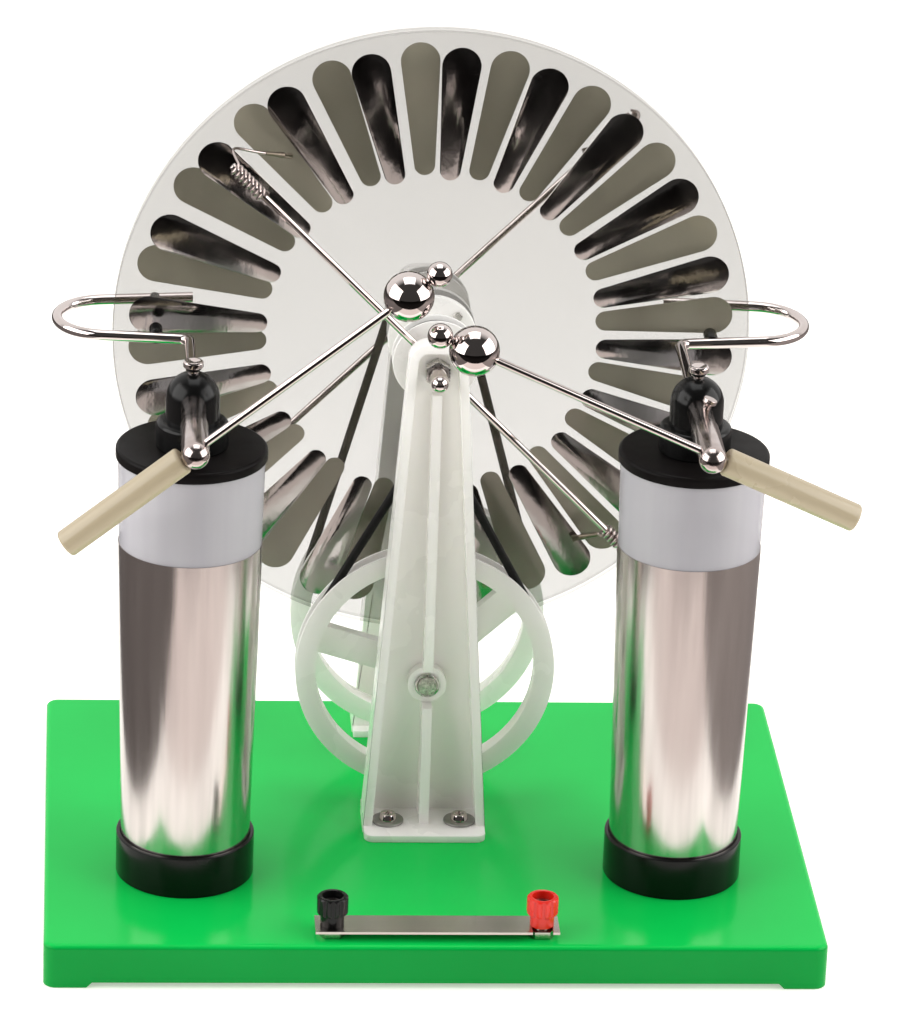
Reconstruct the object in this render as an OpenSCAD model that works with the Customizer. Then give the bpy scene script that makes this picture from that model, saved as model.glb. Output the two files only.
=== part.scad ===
// Electrostatic generator with two counter-turning plates, two Leyden jars and a spark gap.
// Millimetres, +X to the right, +Y to the back, +Z up.
// The origin is on the table, under the middle of the base.

/* [Base] */
// Width of the base from left to right
base_w = 310; // [300:1:340]
// Depth of the base from front to back
base_d = 230; // [228:1:260]
// Height of the base's top above the table
base_h = 18.5; // [16:0.5:24]
// Wall of the hollow base
base_wall = 3; // [2:0.5:4]
// Radius of the base's upright corners
base_corner_r = 5; // [4:0.5:8]
// Rounding of the base's top edge
base_edge_r = 2; // [1:0.5:3]
// Height of the slot under the skirt, between the corner feet
skirt_gap = 2.2; // [1:0.2:4]
// Length of each corner foot along the skirt
corner_foot = 17; // [12:1:30]
// Thickness of the stiffening ribs under the top
base_rib_t = 2; // [1.5:0.5:3]
// Depth of the stiffening ribs under the top
base_rib_h = 6; // [4:0.5:9]

/* [Uprights] */
// Distance of the plates' middle plane in front of the base's back edge
plate_back = 71; // [69:1:73]
// Thickness of each upright's web
web_t = 3; // [2.5:0.5:4]
// Half width of an upright at its foot
upright_foot_half = 25.2; // [23:0.2:27]
// Half width of an upright at its top, before the corners are rounded
upright_top_half = 11.3; // [10.5:0.1:13]
// Height of the uprights above the plates' axis
upright_above = 12.9; // [11:0.5:18]
// Radius of the uprights' top corners
upright_top_r = 8; // [4:0.5:9]
// Thickness of the uprights' side ribs
side_rib_t = 3.7; // [2.5:0.1:4.5]
// Reach of the side ribs from the web at the foot
side_rib_foot = 16.7; // [12:0.5:20]
// Reach of the side ribs from the web at the top
side_rib_top = 5.7; // [4:0.5:8]
// Width of an upright's middle rib
middle_rib_t = 4; // [3:0.5:6]
// How far the middle rib stays behind the side ribs
middle_rib_back = 2.2; // [1:0.2:3.6]
// Thickness of an upright's foot plate
foot_t = 3; // [2.5:0.5:5]
// Reach of the foot plate outwards from the web's inner face
foot_out = 28.9; // [26:0.1:29.4]
// Reach of the foot plate inwards from the web's inner face
foot_in = 5.5; // [4:0.5:6]
// Radius of the foot plate's outer corners
foot_corner_r = 4; // [2:0.5:6]
// Diameter of the boss round the drive axle
axle_boss_d = 15.9; // [14:0.1:18]
// Length of that boss outwards from the web
axle_boss_l = 4.7; // [3:0.1:6]

/* [Fasteners] */
// Sideways distance of the foot screws from the middle
foot_screw_x = 14.7; // [12:0.1:16]
// Distance of the foot screws outwards from the web's inner face
foot_screw_out = 14.8; // [12:0.1:18]
// Diameter of the foot screws' shanks
foot_screw_d = 4; // [3:0.5:4.5]
// Diameter of the foot screws' pan heads
foot_head_d = 7.5; // [6.5:0.1:9]
// Height of the foot screws' pan heads
foot_head_h = 2.6; // [2:0.1:3.5]
// Diameter of the washers under the foot screws
washer_d = 13; // [10:0.5:14]
// Thickness of the washers under the foot screws
washer_t = 1; // [0.8:0.1:1.5]
// Width across the flats of the nuts under the base
base_nut_af = 7; // [6:0.5:8]
// Height of the nuts under the base
base_nut_h = 3.2; // [2.4:0.1:4]
// Radial clearance of turning and sliding fits
fit = 0.05; // [0.02:0.01:0.08]

/* [Plates] */
// Height of the plates' axis above the table
plate_z = 215.6; // [214:0.1:218]
// Diameter of each plate
plate_d = 258.6; // [254:0.2:262]
// Thickness of each plate
plate_t = 2; // [1.5:0.1:3]
// Air gap between the plates
plate_gap = 2; // [1.5:0.1:3]
// Number of foil sectors on each plate
sector_count = 20; // [16:2:22]
// Thickness of a foil sector
sector_t = 0.25; // [0.15:0.05:0.4]
// Radius of a sector's round outer end
sector_outer_r = 7.9; // [7:0.1:8.4]
// Radius of a sector's round inner end
sector_inner_r = 4.2; // [3.5:0.1:5]
// Distance of the outer end's centre from the axis
sector_outer_at = 115.1; // [112:0.1:117]
// Distance of the inner end's centre from the axis
sector_inner_at = 71.2; // [66:0.1:76]
// Angle of the first sector, seen from the plate's own side
sector_phase = 14; // [0:0.5:18]

/* [Plate hubs] */
// Diameter of the fixed axle that carries the plates
axle_d = 7.2; // [6.4:0.1:8]
// Diameter of a hub's flange on its plate
hub_flange_d = 36; // [32:0.5:40]
// Thickness of a hub's flange
hub_flange_t = 3; // [2:0.5:4]
// Diameter of a hub's boss
hub_boss_d = 21; // [18:0.5:24]
// Length of a hub's boss from the flange to the pulley
hub_boss_l = 18; // [16:0.5:20]
// Diameter of the spigot that centres a plate on its hub
hub_spigot_d = 16; // [14:0.5:18]
// Pitch circle of the screws in a hub's flange
hub_screw_pcd = 28; // [26:0.5:29]
// Number of screws in a hub's flange
hub_screw_count = 4; // [3:1:6]
// Diameter of the hub screws
hub_screw_d = 2; // [1.5:0.1:2.5]
// Diameter of the hub screws' heads
hub_head_d = 3.8; // [3:0.1:4.2]

/* [Belt drive] */
// Width of the pulleys and drive wheels
pulley_w = 8; // [7.5:0.1:9]
// Diameter of a plate pulley's flanges
pulley_d = 35; // [33:0.5:38]
// Diameter of a drive wheel's flanges
wheel_d = 106.4; // [100:0.2:110]
// Diameter of the round belts
belt_d = 3.6; // [3:0.1:4]
// Depth of a belt groove
groove_depth = 5; // [4.6:0.1:5.4]
// Width of the rim inside a drive wheel's groove
rim_t = 3.2; // [2:0.1:5]
// Width of a drive wheel's spokes
spoke_w = 12; // [8:0.5:15]
// Thickness of a drive wheel's spokes
spoke_t = 5; // [3:0.5:7]
// Number of spokes in a drive wheel
spoke_count = 3; // [3:1:5]
// Angle of the first spoke, seen from the wheel's own side
spoke_phase = 43; // [0:1:90]
// Diameter of a drive wheel's hub
wheel_hub_d = 22; // [18:0.5:26]
// Length by which a drive wheel's hub stands proud of its inner side
wheel_hub_l = 6; // [5:0.5:10]
// Diameter of the drive axle
drive_axle_d = 8; // [7:0.1:9]
// Height of the drive axle above the table
drive_z = 79.9; // [78:0.1:84]
// Diameter of the retaining rings on the drive axle
clip_d = 10.2; // [9.5:0.1:11]
// Thickness of the retaining rings
clip_t = 1.2; // [0.8:0.1:2]

/* [Crank] */
// Length of the crank arm between its axes
crank_l = 48; // [40:0.5:50]
// Thickness of the crank arm
crank_t = 5; // [4:0.5:7]
// Diameter of the set screws in the crank's boss and the drive wheels' hubs
set_screw_d = 3; // [2:0.5:3.5]
// Diameter of the crank arm's boss on the drive axle
crank_boss_d = 17; // [15:0.5:20]
// Length of the crank arm's boss along the drive axle
crank_boss_l = 19; // [17:0.5:22]
// Diameter of the crank arm's outer end
crank_end_d = 12; // [10:0.5:14]
// Diameter of the crank handle at its fullest
crank_grip_d = 16; // [13:0.5:18]
// Length of the crank handle
crank_grip_l = 58; // [40:1:70]
// Diameter of the pin that the crank handle turns on
crank_pin_d = 5; // [4:0.5:6]

/* [Brush rods] */
// Angle of the front brush rods from level, rising to the left
brush_angle = 45; // [40:1:50]
// Diameter of the brush rods
brush_rod_d = 3; // [2.5:0.1:4]
// Diameter of the collar that holds the brush rods
brush_collar_d = 15; // [13:0.5:18]
// Width of that collar along the axle
brush_collar_w = 5; // [4:0.5:6]
// Distance from the axis to a brush rod's end
brush_rod_l = 118; // [110:1:121]
// Number of turns of each brush wire round its rod
brush_turns = 8; // [4:1:9]
// Distance from turn to turn of a brush wire
brush_pitch = 2.1; // [1.8:0.1:2.2]
// Diameter of the brush wire
brush_wire_d = 1.2; // [0.8:0.1:1.3]
// Diameter of a brush's ferrule
ferrule_d = 2.6; // [2:0.1:3.5]
// Length of a brush's tapered ferrule
ferrule_l = 8.5; // [5:0.5:10]
// Length of the bristles that stand out of a ferrule
bristle_l = 4; // [2:0.5:6]

/* [Leyden jars] */
// Distance of each jar's axis from the middle, left and right
jar_x = 98.6; // [97:0.1:104]
// Distance of the jars' axes behind the base's front edge
jar_edge = 68.5; // [63:0.5:71]
// Outer diameter of a jar at its bottom
jar_bottom_d = 50.6; // [46:0.2:52]
// Outer diameter of a jar at its mouth
jar_mouth_d = 57.8; // [54:0.2:58]
// Wall of a jar
jar_wall = 1.3; // [1:0.1:2]
// Height of a jar
jar_h = 176.9; // [170:0.1:182]
// Height of the foil on a jar above the jar's bottom
foil_h = 141.3; // [120:0.1:150]
// Thickness of the foil on a jar
foil_t = 0.25; // [0.15:0.05:0.4]
// Outer diameter of a jar's holder ring
holder_d = 55.4; // [54.8:0.2:58]
// Height of a jar's holder ring
holder_h = 17.5; // [12:0.5:24]
// Floor of a jar's holder ring
holder_floor = 2.5; // [2.4:0.1:4]
// Diameter of a jar's lid
lid_d = 59.6; // [59:0.2:62]
// Thickness of a jar's lid
lid_t = 4.4; // [3.5:0.1:6]
// Depth of the lid's spigot inside the jar
lid_spigot = 8; // [5:0.5:12]
// Diameter of the rod inside a jar
inner_rod_d = 4; // [3:0.5:5]

/* [Terminals on the jars] */
// Diameter of the black dome on a lid
dome_d = 21.1; // [20:0.1:23]
// Diameter of the dome's foot
dome_foot_d = 28.4; // [25:0.1:30]
// Height of the dome's foot
dome_foot_h = 10.9; // [8:0.1:12]
// Height of the spark rods' tubes above the lids
arm_above_lid = 20; // [19:0.1:21]
// Diameter of the set screws' necks
set_neck_d = 4.6; // [4:0.1:5]
// Diameter of the set screws' flared heads
set_head_d = 8; // [6.5:0.1:9]
// Height of a set screw's flared head above the dome
set_head_h = 4.8; // [4:0.1:7]

/* [Spark gap] */
// Diameter of the tubes that carry the spark rods
tube_d = 10.9; // [10:0.1:12]
// Diameter of a tube's root, which turns in its dome
tube_root_d = 9.6; // [9:0.1:10]
// Distance from a jar's axis to the end of its tube's root
tube_root_l = 28; // [24:0.5:32]
// Distance from a jar's axis to its spark rod
tube_reach = 54; // [50:0.5:58]
// Distance from a spark rod to the middle of its tube's round end
tube_nose = 4.5; // [4:0.5:7]
// Diameter of the spark rods
spark_rod_d = 3.1; // [2.5:0.1:4]
// Angle of the left spark rod above level
left_rod_angle = 38.7; // [36:0.1:42]
// Angle of the right spark rod above level
right_rod_angle = 24.3; // [22:0.1:26]
// Distance from the tube to the middle of the big ball
big_ball_at = 101.5; // [98:0.1:104]
// Diameter of the big balls
big_ball_d = 19.4; // [17:0.1:20]
// Distance between the middles of the big and small ball
ball_step = 14.4; // [13.8:0.1:16]
// Diameter of the small balls
small_ball_d = 9.8; // [8:0.1:10.4]
// Diameter of the neck between the balls
ball_neck_d = 3.6; // [3:0.1:4.5]
// Diameter of the insulating handles
handle_d = 11; // [9:0.5:13]
// Gap between a tube and its rod's handle
handle_gap = 0.45; // [0.35:0.05:3]
// Length of the insulating handles
handle_l = 57; // [45:1:70]
// Length of a spark rod inside its handle
handle_grip = 22.8; // [15:0.1:30]

/* [Collectors] */
// Diameter of the collector forks
fork_d = 4.4; // [3:0.1:4.5]
// Distance from the middle to the centre of a fork's bend
fork_bend_x = 131.6; // [130:0.1:138]
// Radius of a fork's bend round the plates' edge
fork_bend_r = 20; // [18:0.5:22]
// Angle by which a fork's arms spread
fork_spread_angle = 6; // [2:1:10]
// Radius of the corner between a fork's stem and its arm
fork_corner_r = 4; // [3.5:0.5:6]
// How far a fork's rear arm reaches past its jar's axis
fork_past = 2; // [0:0.5:6]
// How far the forks lie below the spark rods' tubes
fork_drop = 1.6; // [0:0.1:2]
// Distance from the middle to the collector pins
pin_x = 112; // [110:0.5:118]
// Diameter of the collector pins
pin_d = 5.4; // [5:0.1:7]
// Length of a collector pin beyond its rod
pin_l = 8; // [6:0.5:12]

/* [Sockets and link] */
// Distance of each socket from the middle, left and right
post_x = 41.5; // [38:0.5:46]
// Distance of the sockets behind the base's front edge
post_edge = 11.5; // [10:0.5:17]
// Width across the flats of the sockets' nuts
post_nut_af = 10.5; // [9:0.5:12]
// Height of the sockets' nuts
post_nut_h = 3.2; // [2.5:0.1:4]
// Diameter of the sockets' studs
post_d = 6; // [5.6:0.1:6.4]
// Bore of the sockets for a plug
socket_d = 4; // [3.8:0.1:4.2]
// Depth of the sockets' bore
socket_deep = 9; // [7:0.5:10]
// Width of the link between the sockets
link_w = 14.4; // [12:0.2:16]
// Thickness of the link
link_t = 1; // [0.8:0.1:1.5]
// Room on each side of the red stud in the link's open slot
slot_gap = 1; // [0.8:0.1:1.5]
// Diameter of a cap's lower part
cap_low_d = 9.5; // [8.6:0.1:11]
// Height of a cap's lower part
cap_low_h = 4.4; // [3:0.1:6]
// Diameter of a cap's fluted upper part
cap_top_d = 12.5; // [11:0.1:14]
// Height of a cap's fluted upper part
cap_top_h = 8; // [7:0.5:10]
// Number of flutes round a cap
flute_count = 12; // [8:1:16]
// Width of the contact strips under the base
strip_w = 8; // [6:0.5:12]
// Thickness of the contact strips
strip_t = 0.8; // [0.5:0.1:1.5]

/* [Hidden] */
$fn = 48;
// Seats between pieces that lie on each other
seat = 0.05;
// Clearance of curved faces that pass each other
run_gap = 0.3;
// Overshoot of cuts past the faces they open
past = 1;
base_top_t = base_wall;
base_under = base_h - base_top_t;
plate_y = base_d / 2 - plate_back;
jar_y = jar_edge - base_d / 2;
post_y = post_edge - base_d / 2;

// Distances outwards from the plates' middle plane
plate_in = plate_gap / 2;
plate_out = plate_in + plate_t;
flange_out = plate_out + hub_flange_t;
pulley_in = flange_out + hub_boss_l;
pulley_out = pulley_in + pulley_w;
collar_in = pulley_out + 1;
collar_out = collar_in + brush_collar_w;
web_in = collar_out + run_gap;
web_out = web_in + web_t;
nut_h = 5;
nut_out = web_out + nut_h;
nut_d = 11.2;
stub_l = 9.7;
belt_out = (pulley_in + pulley_out) / 2;
boss_out = web_out + axle_boss_l;
ring_out = boss_out + run_gap + clip_t;
rod_out = (collar_in + collar_out) / 2;
// Depth of the set screws below the face that they go through
set_screw_sunk = 0.5;
// How far the drive axle stands out of its ring
axle_proud = 0.6;

// Uprights
upright_top = plate_z + upright_above;
upright_lean = atan((upright_foot_half - upright_top_half) / (upright_top - base_h));
foot_top = base_h + foot_t;
foot_plate_in = 0.4;
rib_below_nut = 4;
foot_screw_at = web_in + foot_screw_out;
rear_relief_r = max(axle_boss_d / 2, crank_boss_d / 2 + run_gap);

// Ribs under the base: across between the jars and the front foot, across behind the plates'
// middle plane, and three from front to back
rib_behind_plates = 2;
cross_ribs = [(jar_y + plate_y - foot_screw_at) / 2, plate_y + rib_behind_plates];
long_ribs = [-base_w / 4, 0, base_w / 4];

// Plates and hubs
sector_half = asin((sector_outer_r - sector_inner_r) / (sector_outer_at - sector_inner_at));
axle_r = axle_d / 2;
hub_screw_l = plate_t + hub_flange_t;
hub_head_h = 1.4;

// Belts
groove_bottom_w = 3.5;
groove_top_w = 5.8;
pulley_belt_r = pulley_d / 2 - groove_depth + run_gap + belt_d / 2;
wheel_belt_r = wheel_d / 2 - groove_depth + run_gap + belt_d / 2;
axle_step = plate_z - drive_z;
open_angle = asin((wheel_belt_r - pulley_belt_r) / axle_step);
cross_lean = asin((wheel_belt_r + pulley_belt_r) / axle_step);
cross_shift = belt_d / 2 + 0.35;
belt_sides = 8;

// Crank
crank_in = ring_out + run_gap;
crank_out = crank_in + crank_boss_l;
crank_arm_back = 2;
crank_arm_in = crank_out - crank_t - crank_arm_back;
crank_screw_at = crank_in + crank_boss_l / 3;
crank_head_l = 2.2;
crank_head_d = crank_pin_d + 4;
crank_arm_out = crank_arm_in + crank_t;
grip_in = crank_arm_out + run_gap;
grip_out = grip_in + crank_grip_l;

// Brush rods, in a frame whose X runs along the rod and whose Y runs to the plates
coil_r = brush_rod_d / 2 + run_gap + brush_wire_d / 2;
coil_from = brush_rod_l - brush_turns * brush_pitch - brush_wire_d;
// Where the brushes of the lower and the upper rod touch: back from the rod's end, down from its
// side, and the way that their bristles point
brush_back = [13.5, 24.5];
brush_down = [21.3, 14.3];
brush_lean = [[-0.3, 0.5, -0.83], [-0.785, 0.44, -0.445]];
brush_y = -plate_out - sector_t - run_gap;
bristle_r = ferrule_d / 2 + 0.2;
ferrule_root_d = brush_wire_d + 0.5;
wire_reach = [14, 13];
function brush_dir(i) = brush_lean[i] / norm(brush_lean[i]);
function brush_tip(i) = [brush_rod_l - brush_back[i], brush_y, -brush_down[i]];
// Distance by which slanted bristles stop short, so that their rim just clears the plate
function brush_lift(i) = let (d = brush_dir(i)) bristle_r * sqrt(1 - d.y * d.y) / d.y;
function ferrule_end(i) = brush_tip(i) - (bristle_l + brush_lift(i)) * brush_dir(i);
function ferrule_start(i) = ferrule_end(i) - ferrule_l * brush_dir(i);

// Jars
holder_top = base_h + holder_h;
jar_bottom = base_h + holder_floor + seat + foil_t + seat;
jar_top = jar_bottom + jar_h;
foil_top = jar_bottom + foil_h;
jar_slope = (jar_mouth_d - jar_bottom_d) / 2 / jar_h;
jar_floor = 2;
lid_bottom = jar_top + seat;
lid_top = lid_bottom + lid_t;
dome_z = lid_top + arm_above_lid;
round_above = 0.2;
round_z = dome_z + round_above;
dome_foot_round = 2;
inner_rod_up = 5;
dome_top = round_z + dome_d / 2;
bolt_head_d = 8;
bolt_head_h = 2;
bolt_d = 4;

// Spark gap
tube_r = tube_d / 2;
tube_root_r = tube_root_d / 2;
tube_past = 2;
tube_cone_l = 2;
handle_at = tube_r + handle_gap;
tube_screw_at = 6;
tube_screw_turn = 22;
tube_screw_d = 5.6;
tube_screw_neck = 3.4;
tube_screw_h = 4.4;
pivot_y = jar_y - tube_reach;
tube_tip = tube_reach + tube_nose;

// Forks, from the jar's axis, with X outwards
fork_from = 1;
fork_mid = plate_y - jar_y;
fork_bend_at = fork_bend_x - jar_x;
fork_turn = 90 - fork_spread_angle;
corner_end_x = fork_corner_r * (1 - sin(fork_spread_angle));
bend_from_x = fork_bend_at + fork_bend_r * sin(fork_spread_angle);
arm_dx = bend_from_x - corner_end_x;
arm_y = fork_mid - fork_bend_r * cos(fork_spread_angle) - arm_dx * tan(fork_spread_angle);
corner_y = arm_y - fork_corner_r * cos(fork_spread_angle);
rear_dx = bend_from_x + fork_past;
pin_at = pin_x - jar_x;
pin_arm_y = arm_y + (pin_at - corner_end_x) * tan(fork_spread_angle);
fork_z = dome_z - fork_drop;

// Sockets
link_z = base_h + post_nut_h + seat;
cap_z = link_z + link_t + seat;
cap_top = cap_z + cap_low_h + cap_top_h;
post_top = cap_top - 2.5;
thread_d = 4;
strip_len = norm([jar_x - post_x, jar_y - post_y]);
strip_turn = atan2(jar_y - post_y, jar_x - post_x);
strip_z = base_under - seat - strip_t;
under_nut_z = strip_z - seat - base_nut_h;

// Points of an arc about a centre, from angle a to angle b
function arc(centre, r, a, b, steps) =
    [for (i = [0:steps]) let (t = a + (b - a) * i / steps) centre + r * [cos(t), sin(t)]];

// Tangents along an open line of points
function tangents(p) = [for (i = [0:len(p) - 1])
    let (d = p[min(i + 1, len(p) - 1)] - p[max(i - 1, 0)]) d / norm(d)];
// Tangents along a closed line of points
function loop_tangents(p) = [for (i = [0:len(p) - 1])
    let (d = p[(i + 1) % len(p)] - p[(i + len(p) - 1) % len(p)]) d / norm(d)];
// What is left of v beside direction t, at length one
function beside(v, t) = let (w = v - (v * t) * t) w / norm(w);
// Side directions along a line that turn no more than the line does
function carried(t, first) = [for (i = 0, n = beside(first, t[0]); i < len(t);
    i = i + 1, n = i < len(t) ? beside(n, t[i]) : n) n];
// Rings of points round a line
function rings(p, t, n, r, sides) = [for (i = [0:len(p) - 1]) for (j = [0:sides - 1])
    let (a = 360 * j / sides, b = cross(t[i], n[i])) p[i] + r * (cos(a) * n[i] + sin(a) * b)];
// Triangles between ring a and ring b
function band(a, b, sides) = [for (j = [0:sides - 1])
    let (k = (j + 1) % sides)
    for (f = [[a + j, b + j, b + k], [a + j, b + k, a + k]]) f];
// Least distance between stretches of a line that lie more than skip points apart
function self_gap(p, skip, r) =
    min([for (i = [0:len(p) - 1]) for (j = [i + skip:1:len(p) - 1]) norm(p[i] - p[j])]) - 2 * r;

// Round bar swept along an open line, as one closed tube
module swept(p, r, sides, first) {
    t = tangents(p);
    v = rings(p, t, carried(t, first), r, sides);
    last = len(p) - 1;
    polyhedron(v, concat(
        [for (i = [0:last - 1]) each band(i * sides, (i + 1) * sides, sides)],
        [for (j = [1:sides - 2]) [0, j, j + 1]],
        [for (j = [1:sides - 2]) [last * sides, last * sides + j + 1, last * sides + j]]));
}

// Round bar swept along a closed line that lies near one plane
module swept_loop(p, r, sides, flat) {
    t = loop_tangents(p);
    v = rings(p, t, [for (d = t) beside(flat, d)], r, sides);
    count = len(p);
    polyhedron(v, [for (i = [0:count - 1])
        each band(i * sides, ((i + 1) % count) * sides, sides)]);
}

// Frames of the two sides: the front as drawn, the rear turned round the plates' middle
module front_side() {
    translate([0, plate_y, 0]) children();
}
module rear_side() {
    translate([0, plate_y, 0]) rotate([0, 0, 180]) children();
}
module both_sides() {
    front_side() children();
    rear_side() children();
}
// Frame of one jar: side is -1 on the left and 1 on the right, where X runs outwards
module at_jar(side) {
    translate([side * jar_x, jar_y, 0]) mirror([side < 0 ? 1 : 0, 0, 0]) children();
}
// Turned piece whose axis runs outwards from the plates, at height z
module turned(z) {
    translate([0, 0, z]) rotate([90, 0, 0]) rotate_extrude() children();
}
// Bar from one outward distance to another, at height z
module bar_out(z, from, to, r) {
    translate([0, -from, z]) rotate([90, 0, 0]) cylinder(h = to - from, r = r);
}
// Flat shape drawn as seen from its own side and given a thickness outwards
module slab(z, from, to) {
    translate([0, -from, z]) rotate([90, 0, 0]) linear_extrude(to - from) children();
}
// Hexagon nut with its bore, standing on z = 0
module hex_nut(across_flats, h, bore) {
    difference() {
        cylinder(h = h, d = across_flats / cos(30), $fn = 6);
        translate([0, 0, -past]) cylinder(h = h + 2 * past, d = bore);
    }
}

// Base: one moulded tray, open below, standing on its corners
module base_block() {
    x = base_w / 2 - base_corner_r;
    y = base_d / 2 - base_corner_r;
    hull() {
        for (i = [-1, 1]) for (j = [-1, 1]) translate([i * x, j * y, 0]) {
            cylinder(h = base_h - base_edge_r, r = base_corner_r, $fn = 32);
            translate([0, 0, base_h - base_edge_r]) rotate_extrude($fn = 32)
                translate([base_corner_r - base_edge_r, 0])
                    intersection() {
                        circle(r = base_edge_r, $fn = 32);
                        translate([0, -base_edge_r]) square(2 * base_edge_r);
                    }
        }
    }
}
module skirt_slot(half, depth) {
    x = half - corner_foot;
    linear_extrude(depth, center = true)
        polygon([[-x - past, -past], [x + past, -past], [x - skirt_gap, skirt_gap],
            [-x + skirt_gap, skirt_gap]]);
}
module base_holes() {
    through = base_top_t + 2 * past;
    low = base_under - past;
    for (s = [-1, 1]) {
        translate([s * post_x, post_y, low]) cylinder(h = through, d = thread_d + 2 * fit);
        translate([s * jar_x, jar_y, low]) cylinder(h = through, d = bolt_d + 2 * fit);
    }
    both_sides() for (s = [-1, 1])
        translate([s * foot_screw_x, -foot_screw_at, low])
            cylinder(h = through, d = foot_screw_d + 2 * fit);
}
module base() {
    inner_w = base_w - 2 * base_wall;
    inner_d = base_d - 2 * base_wall;
    rib_z = base_under - base_rib_h;
    color("mediumseagreen") difference() {
        union() {
            difference() {
                base_block();
                translate([-inner_w / 2, -inner_d / 2, -past])
                    cube([inner_w, inner_d, base_under + past]);
                rotate([90, 0, 0]) skirt_slot(base_w / 2, base_d + 2 * past);
                rotate([90, 0, 90]) skirt_slot(base_d / 2, base_w + 2 * past);
            }
            for (y = cross_ribs)
                translate([-inner_w / 2 - seat, y - base_rib_t / 2, rib_z])
                    cube([inner_w + 2 * seat, base_rib_t, base_rib_h + seat]);
            for (x = long_ribs)
                translate([x - base_rib_t / 2, cross_ribs[0], rib_z])
                    cube([base_rib_t, inner_d / 2 - cross_ribs[0] + seat, base_rib_h + seat]);
        }
        base_holes();
    }
}
// Strips under the top that join each jar's outer foil to its socket
module contact_strips() {
    color("goldenrod") for (s = [-1, 1])
        translate([s * post_x, post_y, strip_z]) mirror([s < 0 ? 1 : 0, 0, 0])
            rotate([0, 0, strip_turn]) difference() {
                translate([-strip_w / 2, -strip_w / 2, 0])
                    cube([strip_len + strip_w, strip_w, strip_t]);
                for (x = [0, strip_len]) translate([x, 0, -past])
                    cylinder(h = strip_t + 2 * past, d = bolt_d + 2 * fit);
            }
}

// Outline of an upright's web, set in all round by inset
function upright_outline(inset) =
    let (r = upright_top_r - inset,
        foot = upright_foot_half - inset / cos(upright_lean),
        cz = upright_top - upright_top_r,
        cx = upright_top_half + (upright_top - cz) * tan(upright_lean)
            - upright_top_r / cos(upright_lean),
        right = arc([cx, cz], r, upright_lean, 90, 10),
        left = arc([-cx, cz], r, 90, 180 - upright_lean, 10))
    concat([[-foot, base_h], [foot, base_h]], right, left);
// Side view of the ribs: outwards along X, up along Y
module rib_side(foot_reach, top_reach, top) {
    rotate([90, 0, -90]) linear_extrude(2 * upright_foot_half, center = true)
        polygon([[web_in + web_t / 2, base_h], [web_out + foot_reach, base_h],
            [web_out + top_reach, top], [web_in + web_t / 2, top]]);
}
module foot_plate() {
    half = upright_foot_half - foot_plate_in;
    y0 = -web_in + foot_in;
    y1 = -web_in - foot_out;
    r = foot_corner_r;
    translate([0, 0, base_h]) linear_extrude(foot_t)
        polygon(concat([[half, y0], [-half, y0]],
            arc([-half + r, y1 + r], r, 180, 270, 6), arc([half - r, y1 + r], r, 270, 360, 6)));
}
// One upright; its ribs give way round the drive axle's end to radius relief_r
module upright(relief_r) {
    rib_top = plate_z - nut_d / 2 - rib_below_nut;
    difference() {
        union() {
            slab(0, web_in, web_out) polygon(upright_outline(0));
            intersection() {
                difference() {
                    slab(0, web_in + web_t / 2, web_out + side_rib_foot + past)
                        polygon(upright_outline(0));
                    slab(0, web_in, web_out + side_rib_foot + 2 * past)
                        polygon(upright_outline(side_rib_t));
                }
                rib_side(side_rib_foot, side_rib_top, upright_top + past);
            }
            intersection() {
                translate([-middle_rib_t / 2, -web_out - side_rib_foot - past, base_h])
                    cube([middle_rib_t, side_rib_foot + web_t / 2 + past, rib_top - base_h]);
                rib_side(side_rib_foot - middle_rib_back, side_rib_top - middle_rib_back, rib_top);
            }
            bar_out(drive_z, web_in, boss_out, axle_boss_d / 2);
            foot_plate();
        }
        bar_out(drive_z, web_in - past, web_out + side_rib_foot + 2 * past,
            drive_axle_d / 2 + fit);
        bar_out(drive_z, boss_out, web_out + side_rib_foot + past, relief_r);
        bar_out(plate_z, web_in - past, web_out + past, axle_r + fit);
        for (s = [-1, 1]) translate([s * foot_screw_x, -foot_screw_at, base_h - past])
            cylinder(h = foot_t + 2 * past, d = foot_screw_d + 2 * fit);
    }
}
module front_upright() {
    color("honeydew") front_side() upright(axle_boss_d / 2);
}
module rear_upright() {
    color("honeydew") rear_side() upright(rear_relief_r);
}
module upright_screws() {
    head_z = foot_top + washer_t + 2 * seat;
    shank = head_z - under_nut_z + 1;
    color("silver") both_sides() for (s = [-1, 1])
        translate([s * foot_screw_x, -foot_screw_at, head_z]) difference() {
            union() {
                cylinder(h = foot_head_h, d1 = foot_head_d, d2 = foot_head_d - 1.6);
                translate([0, 0, -shank]) cylinder(h = shank + seat, d = foot_screw_d);
            }
            for (a = [0, 90]) rotate([0, 0, a])
                translate([-foot_head_d / 4, -0.4, foot_head_h - 1.2])
                    cube([foot_head_d / 2, 0.8, 2]);
        }
}
module upright_washers() {
    color("gainsboro") both_sides() for (s = [-1, 1])
        translate([s * foot_screw_x, -foot_screw_at, foot_top + seat]) difference() {
            cylinder(h = washer_t, d = washer_d);
            translate([0, 0, -past]) cylinder(h = washer_t + 2 * past, d = foot_screw_d + 2 * fit);
        }
}
module base_nuts() {
    color("silver") {
        both_sides() for (s = [-1, 1])
            translate([s * foot_screw_x, -foot_screw_at, base_under - seat - base_nut_h])
                hex_nut(base_nut_af, base_nut_h, foot_screw_d + 2 * fit);
        for (s = [-1, 1]) {
            translate([s * post_x, post_y, under_nut_z])
                hex_nut(base_nut_af, base_nut_h, thread_d + 2 * fit);
            translate([s * jar_x, jar_y, under_nut_z])
                hex_nut(base_nut_af, base_nut_h, bolt_d + 2 * fit);
        }
    }
}

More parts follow.
